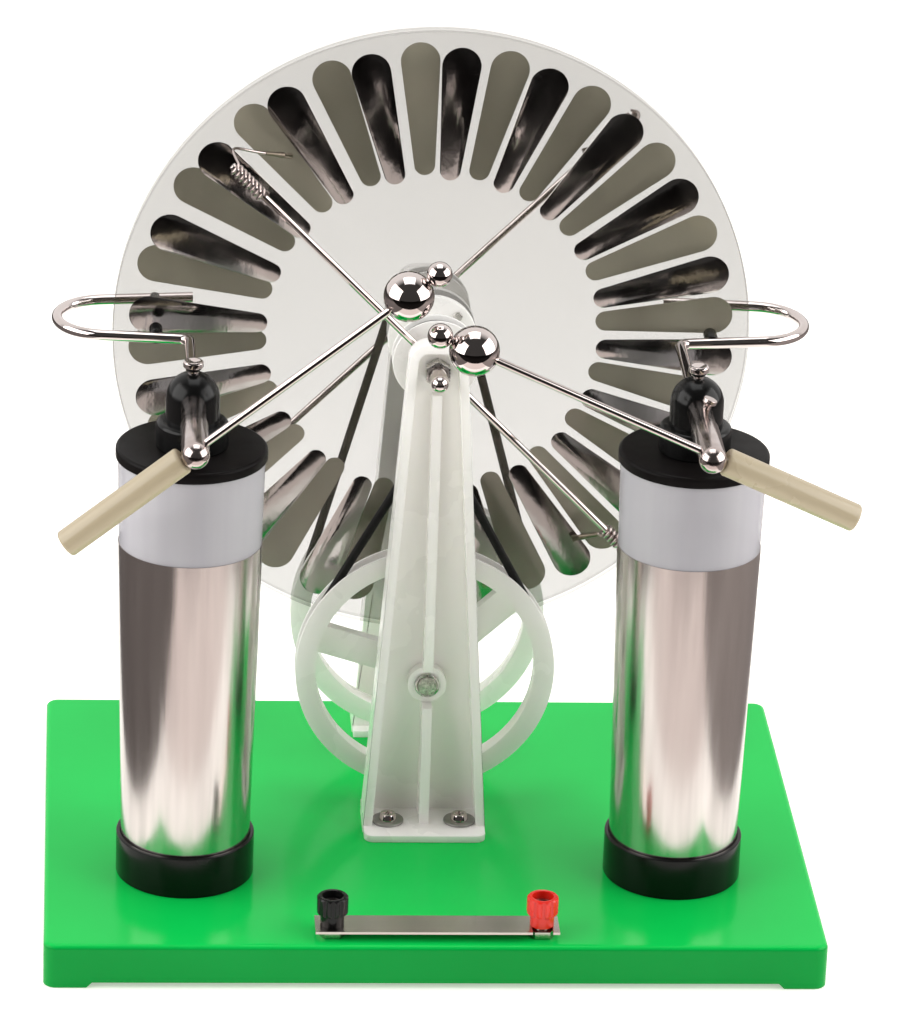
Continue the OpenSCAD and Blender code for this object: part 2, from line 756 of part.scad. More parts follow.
// Fixed axle, its nuts and the washer between the plates
module main_axle() {
    half = nut_out + stub_l;
    color("silver") translate([0, plate_y, plate_z]) rotate([90, 0, 0])
        rotate_extrude() polygon(concat([[0, -half - axle_r]],
            arc([0, -half], axle_r, -80, 0, 8), arc([0, half], axle_r, 0, 80, 8),
            [[0, half + axle_r]]));
}
module axle_nuts() {
    color("silver") both_sides() difference() {
        translate([0, -web_out - seat, plate_z]) rotate([90, 30, 0])
            cylinder(h = nut_h - seat, d = nut_d, $fn = 6);
        bar_out(plate_z, web_out - past, nut_out + past, axle_r + fit);
    }
}
module plate_spacer() {
    color("white") translate([0, plate_y, plate_z]) rotate([90, 0, 0]) difference() {
        cylinder(h = plate_gap - 2 * seat, r = axle_r + 3, center = true);
        cylinder(h = plate_gap + past, r = axle_r + fit, center = true);
    }
}

// One plate, its foil sectors and its hub
module plate() {
    difference() {
        bar_out(plate_z, plate_in, plate_out, plate_d / 2, $fn = 96);
        bar_out(plate_z, plate_in - past, plate_out + past, hub_spigot_d / 2 + fit);
        hub_screw_bars(plate_in - past, plate_out + past, hub_screw_d / 2 + fit);
    }
}
module hub_screw_bars(from, to, r) {
    translate([0, 0, plate_z]) for (i = [0:hub_screw_count - 1])
        rotate([0, 360 * i / hub_screw_count + 45, 0]) translate([hub_screw_pcd / 2, 0, 0])
            bar_out(0, from, to, r);
}
module sectors() {
    a = 90 + sector_half;
    outline = concat(arc([sector_outer_at, 0], sector_outer_r, -a, a, 12),
        arc([sector_inner_at, 0], sector_inner_r, a, 360 - a, 8));
    for (i = [0:sector_count - 1])
        slab(plate_z, plate_out, plate_out + sector_t)
            rotate(sector_phase + 360 * i / sector_count) polygon(outline);
}
function grooved(r, from) = let (b = groove_bottom_w / 2, t = groove_top_w / 2,
        m = from + pulley_w / 2)
    [[r, from], [r, m - t], [r - groove_depth, m - b], [r - groove_depth, m + b],
        [r, m + t], [r, from + pulley_w]];
module hub_pulley() {
    bore = axle_r + fit;
    difference() {
        turned(plate_z) polygon(concat([[bore, plate_in], [hub_spigot_d / 2, plate_in],
            [hub_spigot_d / 2, plate_out], [hub_flange_d / 2, plate_out],
            [hub_flange_d / 2, flange_out], [hub_boss_d / 2, flange_out],
            [hub_boss_d / 2, pulley_in]],
            grooved(pulley_d / 2, pulley_in), [[bore, pulley_out]]));
        hub_screw_bars(plate_out - past, flange_out + past, hub_screw_d / 2 + fit);
    }
}
module hub_screws() {
    hub_screw_bars(flange_out, flange_out + hub_head_h, hub_head_d / 2);
    hub_screw_bars(flange_out - hub_screw_l, flange_out + seat, hub_screw_d / 2);
}
module front_plate() {
    color([0.87, 0.85, 0.82, 0.4]) front_side() plate();
}
module rear_plate() {
    color([0.87, 0.85, 0.82, 0.4]) rear_side() plate();
}
module front_sectors() {
    color("silver") front_side() sectors();
}
module rear_sectors() {
    color("silver") rear_side() sectors();
}
module front_hub_pulley() {
    color("white") front_side() hub_pulley();
}
module rear_hub_pulley() {
    color("white") rear_side() hub_pulley();
}
module front_hub_screws() {
    color("silver") front_side() hub_screws();
}
module rear_hub_screws() {
    color("silver") rear_side() hub_screws();
}

// Belts: round cord in the grooves, crossed at the front and open at the rear
function belt_point(r, z, a) = [r * cos(a), -belt_out, z + r * sin(a)];
function belt_arc(r, z, a, b, steps) =
    [for (i = [0:steps]) belt_point(r, z, a + (b - a) * i / steps)];
// Shares of a strand from its start to its passing place at share k, and on to its end
function shares(k) = concat([for (i = [1:4]) k * i / 4], [for (i = [1:7]) k + (1 - k) * i / 8]);
// Inner points of a strand; shift bows it outwards where two strands pass, at share k of it
function strand(p, q, k, shift) = [for (u = shares(k))
    let (w = u < k ? u / k : (1 - u) / (1 - k))
    p + u * (q - p) + [0, shift * pow(w, 3) * (4 - 3 * w), 0]];
function open_belt() =
    concat(belt_arc(pulley_belt_r, plate_z, open_angle, 180 - open_angle, 12),
        strand(belt_point(pulley_belt_r, plate_z, 180 - open_angle),
            belt_point(wheel_belt_r, drive_z, 180 - open_angle), 0.5, 0),
        belt_arc(wheel_belt_r, drive_z, 180 - open_angle, 360 + open_angle, 22),
        strand(belt_point(wheel_belt_r, drive_z, open_angle),
            belt_point(pulley_belt_r, plate_z, open_angle), 0.5, 0));
cross_share = pulley_belt_r / (pulley_belt_r + wheel_belt_r);
function falling_strand() = strand(belt_point(pulley_belt_r, plate_z, 180 + cross_lean),
    belt_point(wheel_belt_r, drive_z, cross_lean), cross_share, cross_shift);
function rising_strand() = strand(belt_point(wheel_belt_r, drive_z, 180 - cross_lean),
    belt_point(pulley_belt_r, plate_z, -cross_lean), 1 - cross_share, -cross_shift);
function crossed_belt() =
    concat(belt_arc(pulley_belt_r, plate_z, -cross_lean, 180 + cross_lean, 14),
        falling_strand(),
        belt_arc(wheel_belt_r, drive_z, cross_lean, -180 - cross_lean, 24),
        rising_strand());
echo("least gap of the crossed belt to itself",
    min([for (a = falling_strand()) for (b = rising_strand()) norm(a - b)]) - belt_d);
module front_belt() {
    color("dimgray") front_side() swept_loop(crossed_belt(), belt_d / 2, belt_sides, [0, 1, 0]);
}
module rear_belt() {
    color("dimgray") rear_side() swept_loop(open_belt(), belt_d / 2, belt_sides, [0, 1, 0]);
}

// Drive axle, the two large wheels on it, and what holds them
module drive_axle() {
    color("dimgray") translate([0, plate_y, 0]) bar_out(drive_z, -crank_out, ring_out + axle_proud,
        drive_axle_d / 2);
}
module drive_wheel() {
    r_rim = wheel_d / 2 - groove_depth - rim_t;
    mid = belt_out;
    bore = drive_axle_d / 2 + seat;
    difference() {
        union() {
            turned(drive_z) polygon(concat([[r_rim, pulley_in]],
                grooved(wheel_d / 2, pulley_in), [[r_rim, pulley_out]]));
            bar_out(drive_z, pulley_in - wheel_hub_l, pulley_out, wheel_hub_d / 2);
            for (i = [0:spoke_count - 1]) translate([0, 0, drive_z])
                rotate([0, -spoke_phase - 360 * i / spoke_count, 0])
                    translate([wheel_hub_d / 4, -mid - spoke_t / 2, -spoke_w / 2])
                        cube([r_rim + rim_t / 2 - wheel_hub_d / 4, spoke_t, spoke_w]);
        }
        bar_out(drive_z, pulley_in - wheel_hub_l - past, pulley_out + past, bore);
        wheel_screw_bar(wheel_hub_d / 2 + past, set_screw_d / 2 + seat);
    }
}
// Radial hole or screw in a drive wheel's hub, from the axle to radius to
module wheel_screw_bar(to, r) {
    translate([0, -pulley_in + wheel_hub_l / 2, drive_z + drive_axle_d / 2 + seat])
        cylinder(h = to - drive_axle_d / 2 - seat, r = r);
}
module front_drive_wheel() {
    color("honeydew") front_side() drive_wheel();
}
module rear_drive_wheel() {
    color("honeydew") rear_side() drive_wheel();
}
module set_screws() {
    color("dimgray") {
        both_sides() wheel_screw_bar(wheel_hub_d / 2 - set_screw_sunk, set_screw_d / 2);
        rear_side() translate([0, -crank_screw_at, drive_z + drive_axle_d / 2 + seat])
            cylinder(h = (crank_boss_d - drive_axle_d) / 2 - seat - set_screw_sunk,
                d = set_screw_d);
    }
}
module axle_rings() {
    color("dimgray") both_sides() difference() {
        bar_out(drive_z, boss_out + run_gap, ring_out, clip_d / 2);
        bar_out(drive_z, boss_out - past, ring_out + past, drive_axle_d / 2 + seat);
    }
}

// Crank behind the rear upright, at rest with its handle down
module crank_arm() {
    a = asin((crank_boss_d - crank_end_d) / 2 / crank_l);
    color("dimgray") rear_side() difference() {
        union() {
            bar_out(drive_z, crank_in, crank_out, crank_boss_d / 2);
            slab(drive_z, crank_arm_in, crank_arm_out)
                polygon(concat(arc([0, 0], crank_boss_d / 2 - seat, -a, 180 + a, 16),
                    arc([0, -crank_l], crank_end_d / 2, 180 + a, 360 - a, 12)));
        }
        bar_out(drive_z, crank_in - past, crank_out + past, drive_axle_d / 2 + seat);
        bar_out(drive_z - crank_l, crank_arm_in - past, crank_arm_out + past,
            crank_pin_d / 2 + seat);
        translate([0, -crank_screw_at, drive_z + drive_axle_d / 2])
            cylinder(h = crank_boss_d, d = set_screw_d + 2 * seat);
    }
}
module crank_pin() {
    color("silver") rear_side() {
        head_in = grip_out + run_gap;
        bar_out(drive_z - crank_l, crank_arm_in, head_in + seat, crank_pin_d / 2);
        bar_out(drive_z - crank_l, head_in, head_in + crank_head_l, crank_head_d / 2);
    }
}
module crank_handle() {
    r = crank_grip_d / 2;
    bore = crank_pin_d / 2 + fit;
    color("black") rear_side() turned(drive_z - crank_l)
        polygon([[bore, grip_in], [r * 0.62, grip_in], [r * 0.7, grip_in + 1],
            [r * 0.66, grip_in + crank_grip_l * 0.1], [r * 0.72, grip_in + crank_grip_l * 0.25],
            [r * 0.86, grip_in + crank_grip_l * 0.45], [r * 0.97, grip_in + crank_grip_l * 0.65],
            [r, grip_in + crank_grip_l * 0.78], [r * 0.95, grip_in + crank_grip_l * 0.9],
            [r * 0.82, grip_in + crank_grip_l * 0.97], [r * 0.66, grip_out], [bore, grip_out]]);
}

// Brush rods: two arms in one collar, drawn along X and then turned to their angle; i is 0 for
// the lower arm and 1 for the upper one
module brush_frame(i) {
    translate([0, 0, plate_z]) rotate([0, brush_angle + 180 * i, 0]) children();
}
module brush_rods() {
    difference() {
        bar_out(plate_z, collar_in, collar_out, brush_collar_d / 2);
        bar_out(plate_z, collar_in - past, collar_out + past, axle_r + fit);
        for (i = [0, 1]) brush_frame(i) translate([axle_r, -rod_out, 0]) rotate([0, 90, 0])
            cylinder(h = brush_collar_d, d = brush_rod_d + 2 * seat);
    }
    for (i = [0, 1]) brush_frame(i) translate([axle_r + 2 * seat, -rod_out, 0]) rotate([0, 90, 0])
        cylinder(h = brush_rod_l - axle_r - 2 * seat, d = brush_rod_d);
}
// Brush wire: its turns round the rod's end, then past the end and over to the ferrule
function coil_line() =
    let (steps = 8, n = steps * brush_turns,
        turns = [for (i = [0:n]) let (a = 270 + 360 * i / steps)
            [coil_from + brush_pitch * i / steps, coil_r * cos(a) - rod_out, coil_r * sin(a)]])
    concat([turns[0] - [0, 2 * brush_wire_d, 0], turns[0] - [0, brush_wire_d, 0]], turns);
function wire_line(i) =
    let (coil = coil_line(),
        p0 = coil[len(coil) - 1],
        p3 = ferrule_start(i) - seat * brush_dir(i),
        p1 = p0 + [wire_reach[0] / 2, wire_reach[0], 0],
        p2 = p3 - wire_reach[1] * brush_dir(i))
    concat(coil, [for (k = [1:11]) let (u = k / 12)
        pow(1 - u, 3) * p0 + 3 * u * pow(1 - u, 2) * p1 + 3 * u * u * (1 - u) * p2
            + pow(u, 3) * p3],
        [p3]);
module brush_wires() {
    for (i = [0, 1]) brush_frame(i) swept(wire_line(i), brush_wire_d / 2, 6, [1, 0, 0]);
}
echo("least gap of a brush wire to itself",
    min([for (i = [0, 1]) self_gap(wire_line(i), 6, brush_wire_d / 2)]));
module brushes() {
    for (i = [0, 1]) brush_frame(i) {
        dir = brush_dir(i);
        turn = [0, acos(dir.z), atan2(dir.y, dir.x)];
        translate(ferrule_start(i)) rotate(turn)
            cylinder(h = ferrule_l, d1 = ferrule_root_d, d2 = ferrule_d);
        translate(ferrule_end(i) + seat * dir) rotate(turn)
            cylinder(h = bristle_l - seat, r1 = bristle_r / 2, r2 = bristle_r);
    }
}
module front_brush_rods() {
    color("silver") front_side() brush_rods();
}
module rear_brush_rods() {
    color("silver") rear_side() brush_rods();
}
module front_brush_wires() {
    color("silver") front_side() brush_wires();
}
module rear_brush_wires() {
    color("silver") rear_side() brush_wires();
}
module front_brushes() {
    color("goldenrod") front_side() brushes();
}
module rear_brushes() {
    color("goldenrod") rear_side() brushes();
}

// Leyden jars: tapered beakers in holder rings, with foil inside and outside
module jar_holder() {
    r = holder_d / 2;
    inner = jar_bottom_d / 2 + jar_slope * (holder_top - jar_bottom) + foil_t + 3 * seat;
    difference() {
        rotate_extrude() polygon([[0, base_h], [r, base_h], [r, holder_top - 0.8],
            [r - 0.5, holder_top], [inner, holder_top], [inner, base_h + holder_floor],
            [0, base_h + holder_floor]]);
        translate([0, 0, base_h - past]) cylinder(h = holder_floor + 2 * past, d = bolt_d + 2 * fit);
        translate([0, 0, base_h + holder_floor - bolt_head_h])
            cylinder(h = bolt_head_h + seat, d1 = bolt_d + 2 * fit, d2 = bolt_head_d + 2 * fit);
    }
}
// Radius of the jar's outside at height z
function jar_r(z) = jar_bottom_d / 2 + jar_slope * (z - jar_bottom);
module jar_cup() {
    color([0.85, 0.87, 0.9, 0.5]) rotate_extrude() polygon([[0, jar_bottom],
        [jar_r(jar_bottom), jar_bottom], [jar_r(jar_top), jar_top],
        [jar_r(jar_top) - jar_wall, jar_top],
        [jar_r(jar_bottom + jar_floor) - jar_wall, jar_bottom + jar_floor],
        [0, jar_bottom + jar_floor]]);
}
// Foil shell of thickness foil_t whose inside lies at radius offset from the jar's outside
module foil(offset, bottom) {
    a = jar_r(bottom + foil_t) + offset;
    b = jar_r(foil_top) + offset;
    rotate_extrude() polygon([[0, bottom], [a + foil_t, bottom], [b + foil_t, foil_top],
        [b, foil_top], [a, bottom + foil_t], [0, bottom + foil_t]]);
}
module jar_lid() {
    r = lid_d / 2;
    plug = jar_r(jar_top - lid_spigot) - jar_wall - 2 * seat;
    color("black") difference() {
        rotate_extrude() polygon(concat([[0, lid_bottom - lid_spigot],
            [plug, lid_bottom - lid_spigot], [plug, lid_bottom], [r - 0.6, lid_bottom],
            [r, lid_bottom + 0.6]], arc([r - 1.4, lid_top - 1.4], 1.4, 0, 90, 5), [[0, lid_top]]));
        translate([0, 0, lid_bottom - lid_spigot - past])
            cylinder(h = lid_spigot + lid_t + 2 * past, d = inner_rod_d + 2 * fit);
        translate([0, 0, lid_bottom - lid_spigot - past])
            cylinder(h = lid_spigot + past - seat, r = plug - 2);
    }
}
// Dome that joins the inner rod, the spark tube and the fork
module jar_dome() {
    r = dome_d / 2;
    foot = dome_foot_d / 2;
    z = lid_top + seat;
    color("black") difference() {
        rotate_extrude() polygon(concat([[0, z], [foot - 0.5, z], [foot, z + 0.5]],
            arc([foot - dome_foot_round, z + dome_foot_h - dome_foot_round],
                dome_foot_round, 0, 80, 5),
            [[r, z + dome_foot_h]], arc([0, round_z], r, 0, 90, 12)));
        translate([0, 0, z - past])
            cylinder(h = inner_rod_up + 2 * past, d = inner_rod_d + 2 * fit);
        translate([0, -tube_past + fit, dome_z]) rotate([90, 0, 0])
            cylinder(h = dome_d, r = tube_root_r + fit);
        translate([0, fork_from, fork_z]) rotate([-90, 0, 0])
            cylinder(h = dome_d, d = fork_d + 2 * fit);
        translate([0, 0, dome_z + tube_root_r / 2])
            cylinder(h = dome_d, d = set_neck_d + 2 * fit);
    }
}
module dome_screw() {
    z = dome_z + tube_root_r + run_gap;
    n = set_neck_d / 2;
    h = set_head_d / 2;
    top = dome_top + set_head_h;
    rim = 2.4;
    chamfer = 0.6;
    rotate_extrude() polygon([[0, z], [n, z], [n, dome_top + chamfer], [h, top - rim],
        [h, top - chamfer], [h - chamfer, top], [h - 2 * chamfer, top],
        [0, top - 2 * chamfer]]);
}
module inner_contact() {
    foot_z = jar_bottom + jar_floor + seat + foil_t + run_gap;
    rotate_extrude() polygon([[0, foot_z], [6, foot_z], [6, foot_z + 1.5],
        [inner_rod_d / 2, foot_z + 4], [inner_rod_d / 2, lid_top + inner_rod_up],
        [0, lid_top + inner_rod_up]]);
}
module jar_bolt() {
    z = base_h + holder_floor - bolt_head_h;
    translate([0, 0, z]) cylinder(h = bolt_head_h, d1 = bolt_d, d2 = bolt_head_d);
    translate([0, 0, under_nut_z - 1]) cylinder(h = z - under_nut_z + 1 + seat, d = bolt_d);
}
module both_jars() {
    for (side = [-1, 1]) at_jar(side) children();
}
module jar_holders() {
    color("black") both_jars() jar_holder();
}
module left_jar() {
    at_jar(-1) jar_cup();
}
module right_jar() {
    at_jar(1) jar_cup();
}
module outer_foils() {
    color("silver") both_jars() foil(seat, jar_bottom - foil_t - seat);
}
module inner_foils() {
    color("silver") both_jars()
        foil(-jar_wall - foil_t - seat, jar_bottom + jar_floor + seat);
}
module left_lid() {
    at_jar(-1) jar_lid();
}
module right_lid() {
    at_jar(1) jar_lid();
}
module left_dome() {
    at_jar(-1) jar_dome();
}
module right_dome() {
    at_jar(1) jar_dome();
}
module dome_screws() {
    color("silver") both_jars() dome_screw();
}
module inner_contacts() {
    color("goldenrod") both_jars() inner_contact();
}
module jar_bolts() {
    color("silver") both_jars() jar_bolt();
}

// Collector fork round the plates' edge, and its pins
// Middle line of a fork: stem, corner, front arm, bend, rear arm
function fork_line() = concat([[0, fork_from + seat, fork_z]],
    [for (q = arc([fork_corner_r, corner_y], fork_corner_r, 180, 180 - fork_turn, 7))
        [q.x, q.y, fork_z]],
    [for (q = arc([fork_bend_at, fork_mid], fork_bend_r, -fork_turn, fork_turn, 18))
        [q.x, q.y, fork_z]],
    [[-fork_past, fork_mid + fork_bend_r * cos(fork_spread_angle) + rear_dx * tan(fork_spread_angle),
        fork_z]]);
module fork() {
    color("silver") swept(fork_line(), fork_d / 2, 16, [0, 0, 1]);
}
// Two pins that hug the arms from the plates' side
module pin_pair() {
    bore = fork_d + 2 * seat;
    for (m = [0, 1]) translate([pin_at, fork_mid, fork_z]) mirror([0, m, 0])
        translate([0, pin_arm_y - fork_mid, 0]) difference() {
            rotate([-90, 0, 0]) cylinder(h = fork_d / 2 + pin_l, d = pin_d);
            rotate([0, 90, fork_spread_angle]) cylinder(h = 3 * pin_d, d = bore, center = true);
        }
}
module left_fork() {
    at_jar(-1) fork();
}
module right_fork() {
    at_jar(1) fork();
}
module collector_pins() {
    color("black") both_jars() pin_pair();
}

// Spark tubes turn in the domes; the spark rods slide through them
module spark_frame(side) {
    rise = side < 0 ? left_rod_angle : right_rod_angle;
    translate([side * jar_x, pivot_y, dome_z]) mirror([side < 0 ? 0 : 1, 0, 0])
        rotate([0, -rise, 0]) children();
}
module spark_tube(side) {
    difference() {
        translate([side * jar_x, jar_y, dome_z]) rotate([90, 0, 0]) rotate_extrude()
            polygon(concat([[0, tube_past + fit + seat], [tube_root_r, tube_past + fit + seat],
                [tube_root_r, tube_root_l], [tube_r, tube_root_l + tube_cone_l]],
                arc([0, tube_tip], tube_r, 0, 90, 10)));
        spark_frame(side) rotate([0, 90, 0])
            cylinder(h = 2 * tube_d, d = spark_rod_d + 2 * fit, center = true);
    }
}
// Small set screw high on the right tube
module tube_screw() {
    n = tube_screw_neck / 2;
    h = tube_screw_d / 2;
    sunk = 0.4;
    chamfer = 0.5;
    translate([jar_x, jar_y - dome_d / 2 - tube_screw_at, dome_z]) rotate([0, tube_screw_turn, 0])
        translate([0, 0, tube_root_r - sunk]) rotate_extrude() polygon([[0, 0], [n, 0],
            [n, tube_screw_h / 3], [h, tube_screw_h * 0.6], [h, tube_screw_h - chamfer],
            [h - chamfer, tube_screw_h], [0, tube_screw_h]]);
}
module left_spark_tube() {
    color("silver") spark_tube(-1);
}
module right_spark_tube() {
    color("silver") {
        spark_tube(1);
        tube_screw();
    }
}
module spark_rod(side) {
    r = spark_rod_d / 2;
    color("silver") spark_frame(side) {
        translate([-handle_at - handle_grip, 0, 0]) rotate([0, 90, 0])
            cylinder(h = handle_at + handle_grip + big_ball_at - big_ball_d / 4, r = r);
        difference() {
            translate([big_ball_at, 0, 0]) rotate([0, 90, 0]) sphere(d = big_ball_d);
            translate([0, 0, 0]) rotate([0, 90, 0])
                cylinder(h = big_ball_at - big_ball_d / 4 + seat, r = r + seat);
        }
        translate([big_ball_at + big_ball_d / 2 - 0.4, 0, 0]) rotate([0, 90, 0])
            cylinder(h = ball_step - big_ball_d / 2 - small_ball_d / 2 + 0.8, d = ball_neck_d);
        translate([big_ball_at + ball_step, 0, 0]) rotate([0, 90, 0]) sphere(d = small_ball_d);
    }
}
module spark_handle(side) {
    r = handle_d / 2;
    color("wheat") spark_frame(side) rotate([0, -90, 0]) difference() {
        rotate_extrude() polygon(concat([[0, handle_at], [r - 0.8, handle_at],
            [r, handle_at + 0.8]],
            arc([r - 1.2, handle_at + handle_l - 1.2], 1.2, 0, 90, 5),
            [[0, handle_at + handle_l]]));
        translate([0, 0, handle_at - past]) cylinder(h = handle_grip + past + seat,
            d = spark_rod_d + 2 * seat);
    }
}
module left_spark_rod() {
    spark_rod(-1);
}
module right_spark_rod() {
    spark_rod(1);
}
module left_handle() {
    spark_handle(-1);
}
module right_handle() {
    spark_handle(1);
}

// Sockets at the front, with the link that joins them and their caps
module link_strip() {
    r = post_d / 2 + fit;
    long = 2 * post_x;
    color("silver") translate([-post_x, post_y, link_z]) difference() {
        translate([-post_nut_af / 2 - 1.5, -link_w / 2, 0])
            cube([long + post_nut_af + 3, link_w, link_t]);
        translate([0, 0, -past]) cylinder(h = link_t + 2 * past, r = r);
        translate([long, 0, -past]) cylinder(h = link_t + 2 * past, r = r + slot_gap);
        translate([long - r - slot_gap, -link_w, -past])
            cube([2 * (r + slot_gap), link_w, link_t + 2 * past]);
    }
}
module socket_post() {
    difference() {
        union() {
            cylinder(h = base_h + post_nut_h, d = post_nut_af / cos(30), $fn = 6);
            cylinder(h = post_top, d = post_d);
        }
        translate([0, 0, -past]) cylinder(h = base_h + past, d = 2 * post_nut_af);
        translate([0, 0, post_top - socket_deep]) cylinder(h = socket_deep + past, d = socket_d);
    }
    translate([0, 0, under_nut_z - 1]) cylinder(h = base_h - under_nut_z + 1 + seat, d = thread_d);
}
module socket_posts() {
    color("silver") for (s = [-1, 1]) translate([s * post_x, post_y, 0]) socket_post();
}
module cap() {
    low = cap_low_d / 2;
    top = cap_top_d / 2;
    step_z = cap_z + cap_low_h;
    mouth = post_d / 2 + 1.2;
    difference() {
        rotate_extrude() polygon([[post_d / 2 + fit, cap_z], [low, cap_z], [low, step_z],
            [top - 0.4, step_z + 0.6], [top, step_z + 1.2], [top, cap_top - 0.6],
            [top - 0.6, cap_top], [mouth, cap_top], [mouth, step_z + 1],
            [post_d / 2 + fit, step_z + 1]]);
        for (i = [0:flute_count - 1]) rotate([0, 0, 360 * i / flute_count])
            translate([top + 0.5, 0, step_z - past]) cylinder(h = cap_top_h + 2 * past, r = 1.1, $fn = 24);
    }
}
module black_cap() {
    color("black") translate([-post_x, post_y, 0]) cap();
}
module red_cap() {
    color("red") translate([post_x, post_y, 0]) cap();
}

base();
contact_strips();
front_upright();
rear_upright();
upright_screws();
upright_washers();
base_nuts();
main_axle();
axle_nuts();
plate_spacer();
front_plate();
rear_plate();
front_sectors();
rear_sectors();
front_hub_pulley();
rear_hub_pulley();
front_hub_screws();
rear_hub_screws();
front_belt();
rear_belt();
drive_axle();
front_drive_wheel();
rear_drive_wheel();
set_screws();
axle_rings();
crank_arm();
crank_pin();
crank_handle();
front_brush_rods();
rear_brush_rods();
front_brush_wires();
rear_brush_wires();
front_brushes();
rear_brushes();
jar_holders();
left_jar();
right_jar();
outer_foils();
inner_foils();
left_lid();
right_lid();
left_dome();
right_dome();
dome_screws();
inner_contacts();
left_fork();
right_fork();
collector_pins();
left_spark_tube();
right_spark_tube();
left_spark_rod();
right_spark_rod();
left_handle();
right_handle();
jar_bolts();
link_strip();
socket_posts();
black_cap();
red_cap();
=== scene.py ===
# Electrostatic generator with two counter-turning plates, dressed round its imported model.
# The scene is in metres in the model's own frame; the machine's sizes are millimetres, times MM.
from math import asin, cos, degrees, hypot, pi, radians, sin, sqrt, tan

import bmesh
import bpy
from mathutils import Matrix, Vector


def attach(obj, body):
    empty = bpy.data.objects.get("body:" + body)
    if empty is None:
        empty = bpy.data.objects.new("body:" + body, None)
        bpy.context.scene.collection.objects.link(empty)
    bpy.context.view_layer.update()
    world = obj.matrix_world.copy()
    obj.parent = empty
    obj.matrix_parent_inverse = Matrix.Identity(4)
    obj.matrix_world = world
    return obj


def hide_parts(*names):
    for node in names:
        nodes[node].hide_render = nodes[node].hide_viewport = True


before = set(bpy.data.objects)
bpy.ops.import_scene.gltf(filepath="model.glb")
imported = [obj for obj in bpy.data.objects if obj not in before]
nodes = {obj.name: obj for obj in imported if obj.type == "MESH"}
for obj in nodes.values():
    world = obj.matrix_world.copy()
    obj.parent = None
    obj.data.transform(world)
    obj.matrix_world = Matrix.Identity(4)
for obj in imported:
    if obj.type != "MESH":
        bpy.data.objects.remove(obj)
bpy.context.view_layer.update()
MM = 0.001

# Camera
# Placed where the photograph was taken from, on a long lens a little above the machine.
# Its place and turn were solved from the base's corners, the plates and the jars.
IMAGE_LONG_SIDE = 1024
FOCAL_PIXELS = 5484.371
CAMERA_AT = Vector((-149.072, -2028.424, 1016.533)) * MM
CAMERA_YAW = 0.0765330
CAMERA_PITCH = 0.4003625
CAMERA_ROLL = 0.0379187
SENSOR = 36

lens = bpy.data.cameras.new("camera")
lens.sensor_width = SENSOR
lens.lens = FOCAL_PIXELS * SENSOR / IMAGE_LONG_SIDE
lens.clip_start = 0.1
lens.clip_end = 30
camera = bpy.data.objects.new("camera", lens)
bpy.context.scene.collection.objects.link(camera)
camera.matrix_world = (Matrix.Translation(CAMERA_AT) @ Matrix.Rotation(-CAMERA_YAW, 4, "Z")
                       @ Matrix.Rotation(pi / 2 - CAMERA_PITCH, 4, "X")
                       @ Matrix.Rotation(CAMERA_ROLL, 4, "Z"))
bpy.context.scene.camera = camera

# Floor and studio
# A white table top, a large soft box on each side, a weaker one above and a pale wall behind.
# Grey and dark cloths lie round the machine; only reflections see them, as on polished metal.
scene = bpy.context.scene
scene.view_settings.view_transform = "Standard"


def plain_finish(name, **sockets):
    """Material whose shader carries these values on its own sockets."""
    finish = bpy.data.materials.new(name)
    finish.use_nodes = True
    shader = finish.node_tree.nodes["Principled BSDF"]
    for socket, value in sockets.items():
        shader.inputs[socket.replace("_", " ")].default_value = value
    return finish


def flat_sheet(name, x0, x1, y0, y1, z, finish):
    """Stage sheet lying level between these edges."""
    mesh = bpy.data.meshes.new(name)
    mesh.from_pydata([(x0, y0, z), (x1, y0, z), (x1, y1, z), (x0, y1, z)], [], [(0, 1, 2, 3)])
    mesh.materials.append(finish)
    sheet = bpy.data.objects.new(name, mesh)
    scene.collection.objects.link(sheet)
    return sheet


FLOOR_WHITE = (0.92, 0.91, 0.89, 1)
FLOOR_WARMTH = (1, 0.97, 0.92, 1)
FLOOR_GLOW = 0.42
FLOOR_HALF = 6
FLOOR_Z = -0.0002
TABLE_FRONT = -0.44
TABLE_FADE = -0.20
TABLE_SIDE = 0.23
CLOTH_Z = 0.001
flat_sheet("floor", -FLOOR_HALF, FLOOR_HALF, -FLOOR_HALF, FLOOR_HALF, FLOOR_Z,
           plain_finish("white_table", Base_Color=FLOOR_WHITE, Roughness=0.7,
                        Emission_Color=FLOOR_WARMTH, Emission_Strength=FLOOR_GLOW))
for name, grey, edges in (
        ("cloth_front", 0.01, (-FLOOR_HALF, FLOOR_HALF, -FLOOR_HALF, TABLE_FRONT)),
        ("cloth_middle", 0.85, (-TABLE_SIDE, TABLE_SIDE, TABLE_FRONT, TABLE_FADE)),
        ("cloth_left", 0.13, (-FLOOR_HALF, -TABLE_SIDE, TABLE_FRONT, FLOOR_HALF)),
        ("cloth_right", 0.26, (TABLE_SIDE, FLOOR_HALF, TABLE_FRONT, FLOOR_HALF))):
    weave = plain_finish(name, Base_Color=(grey, 0.9 * grey, 0.87 * grey, 1), Roughness=1.0,
                         Specular_IOR_Level=0.0)
    cloth = flat_sheet(name, *edges, CLOTH_Z, weave)
    cloth.visible_camera = False
    cloth.visible_diffuse = False
    cloth.visible_shadow = False
    cloth.visible_transmission = False


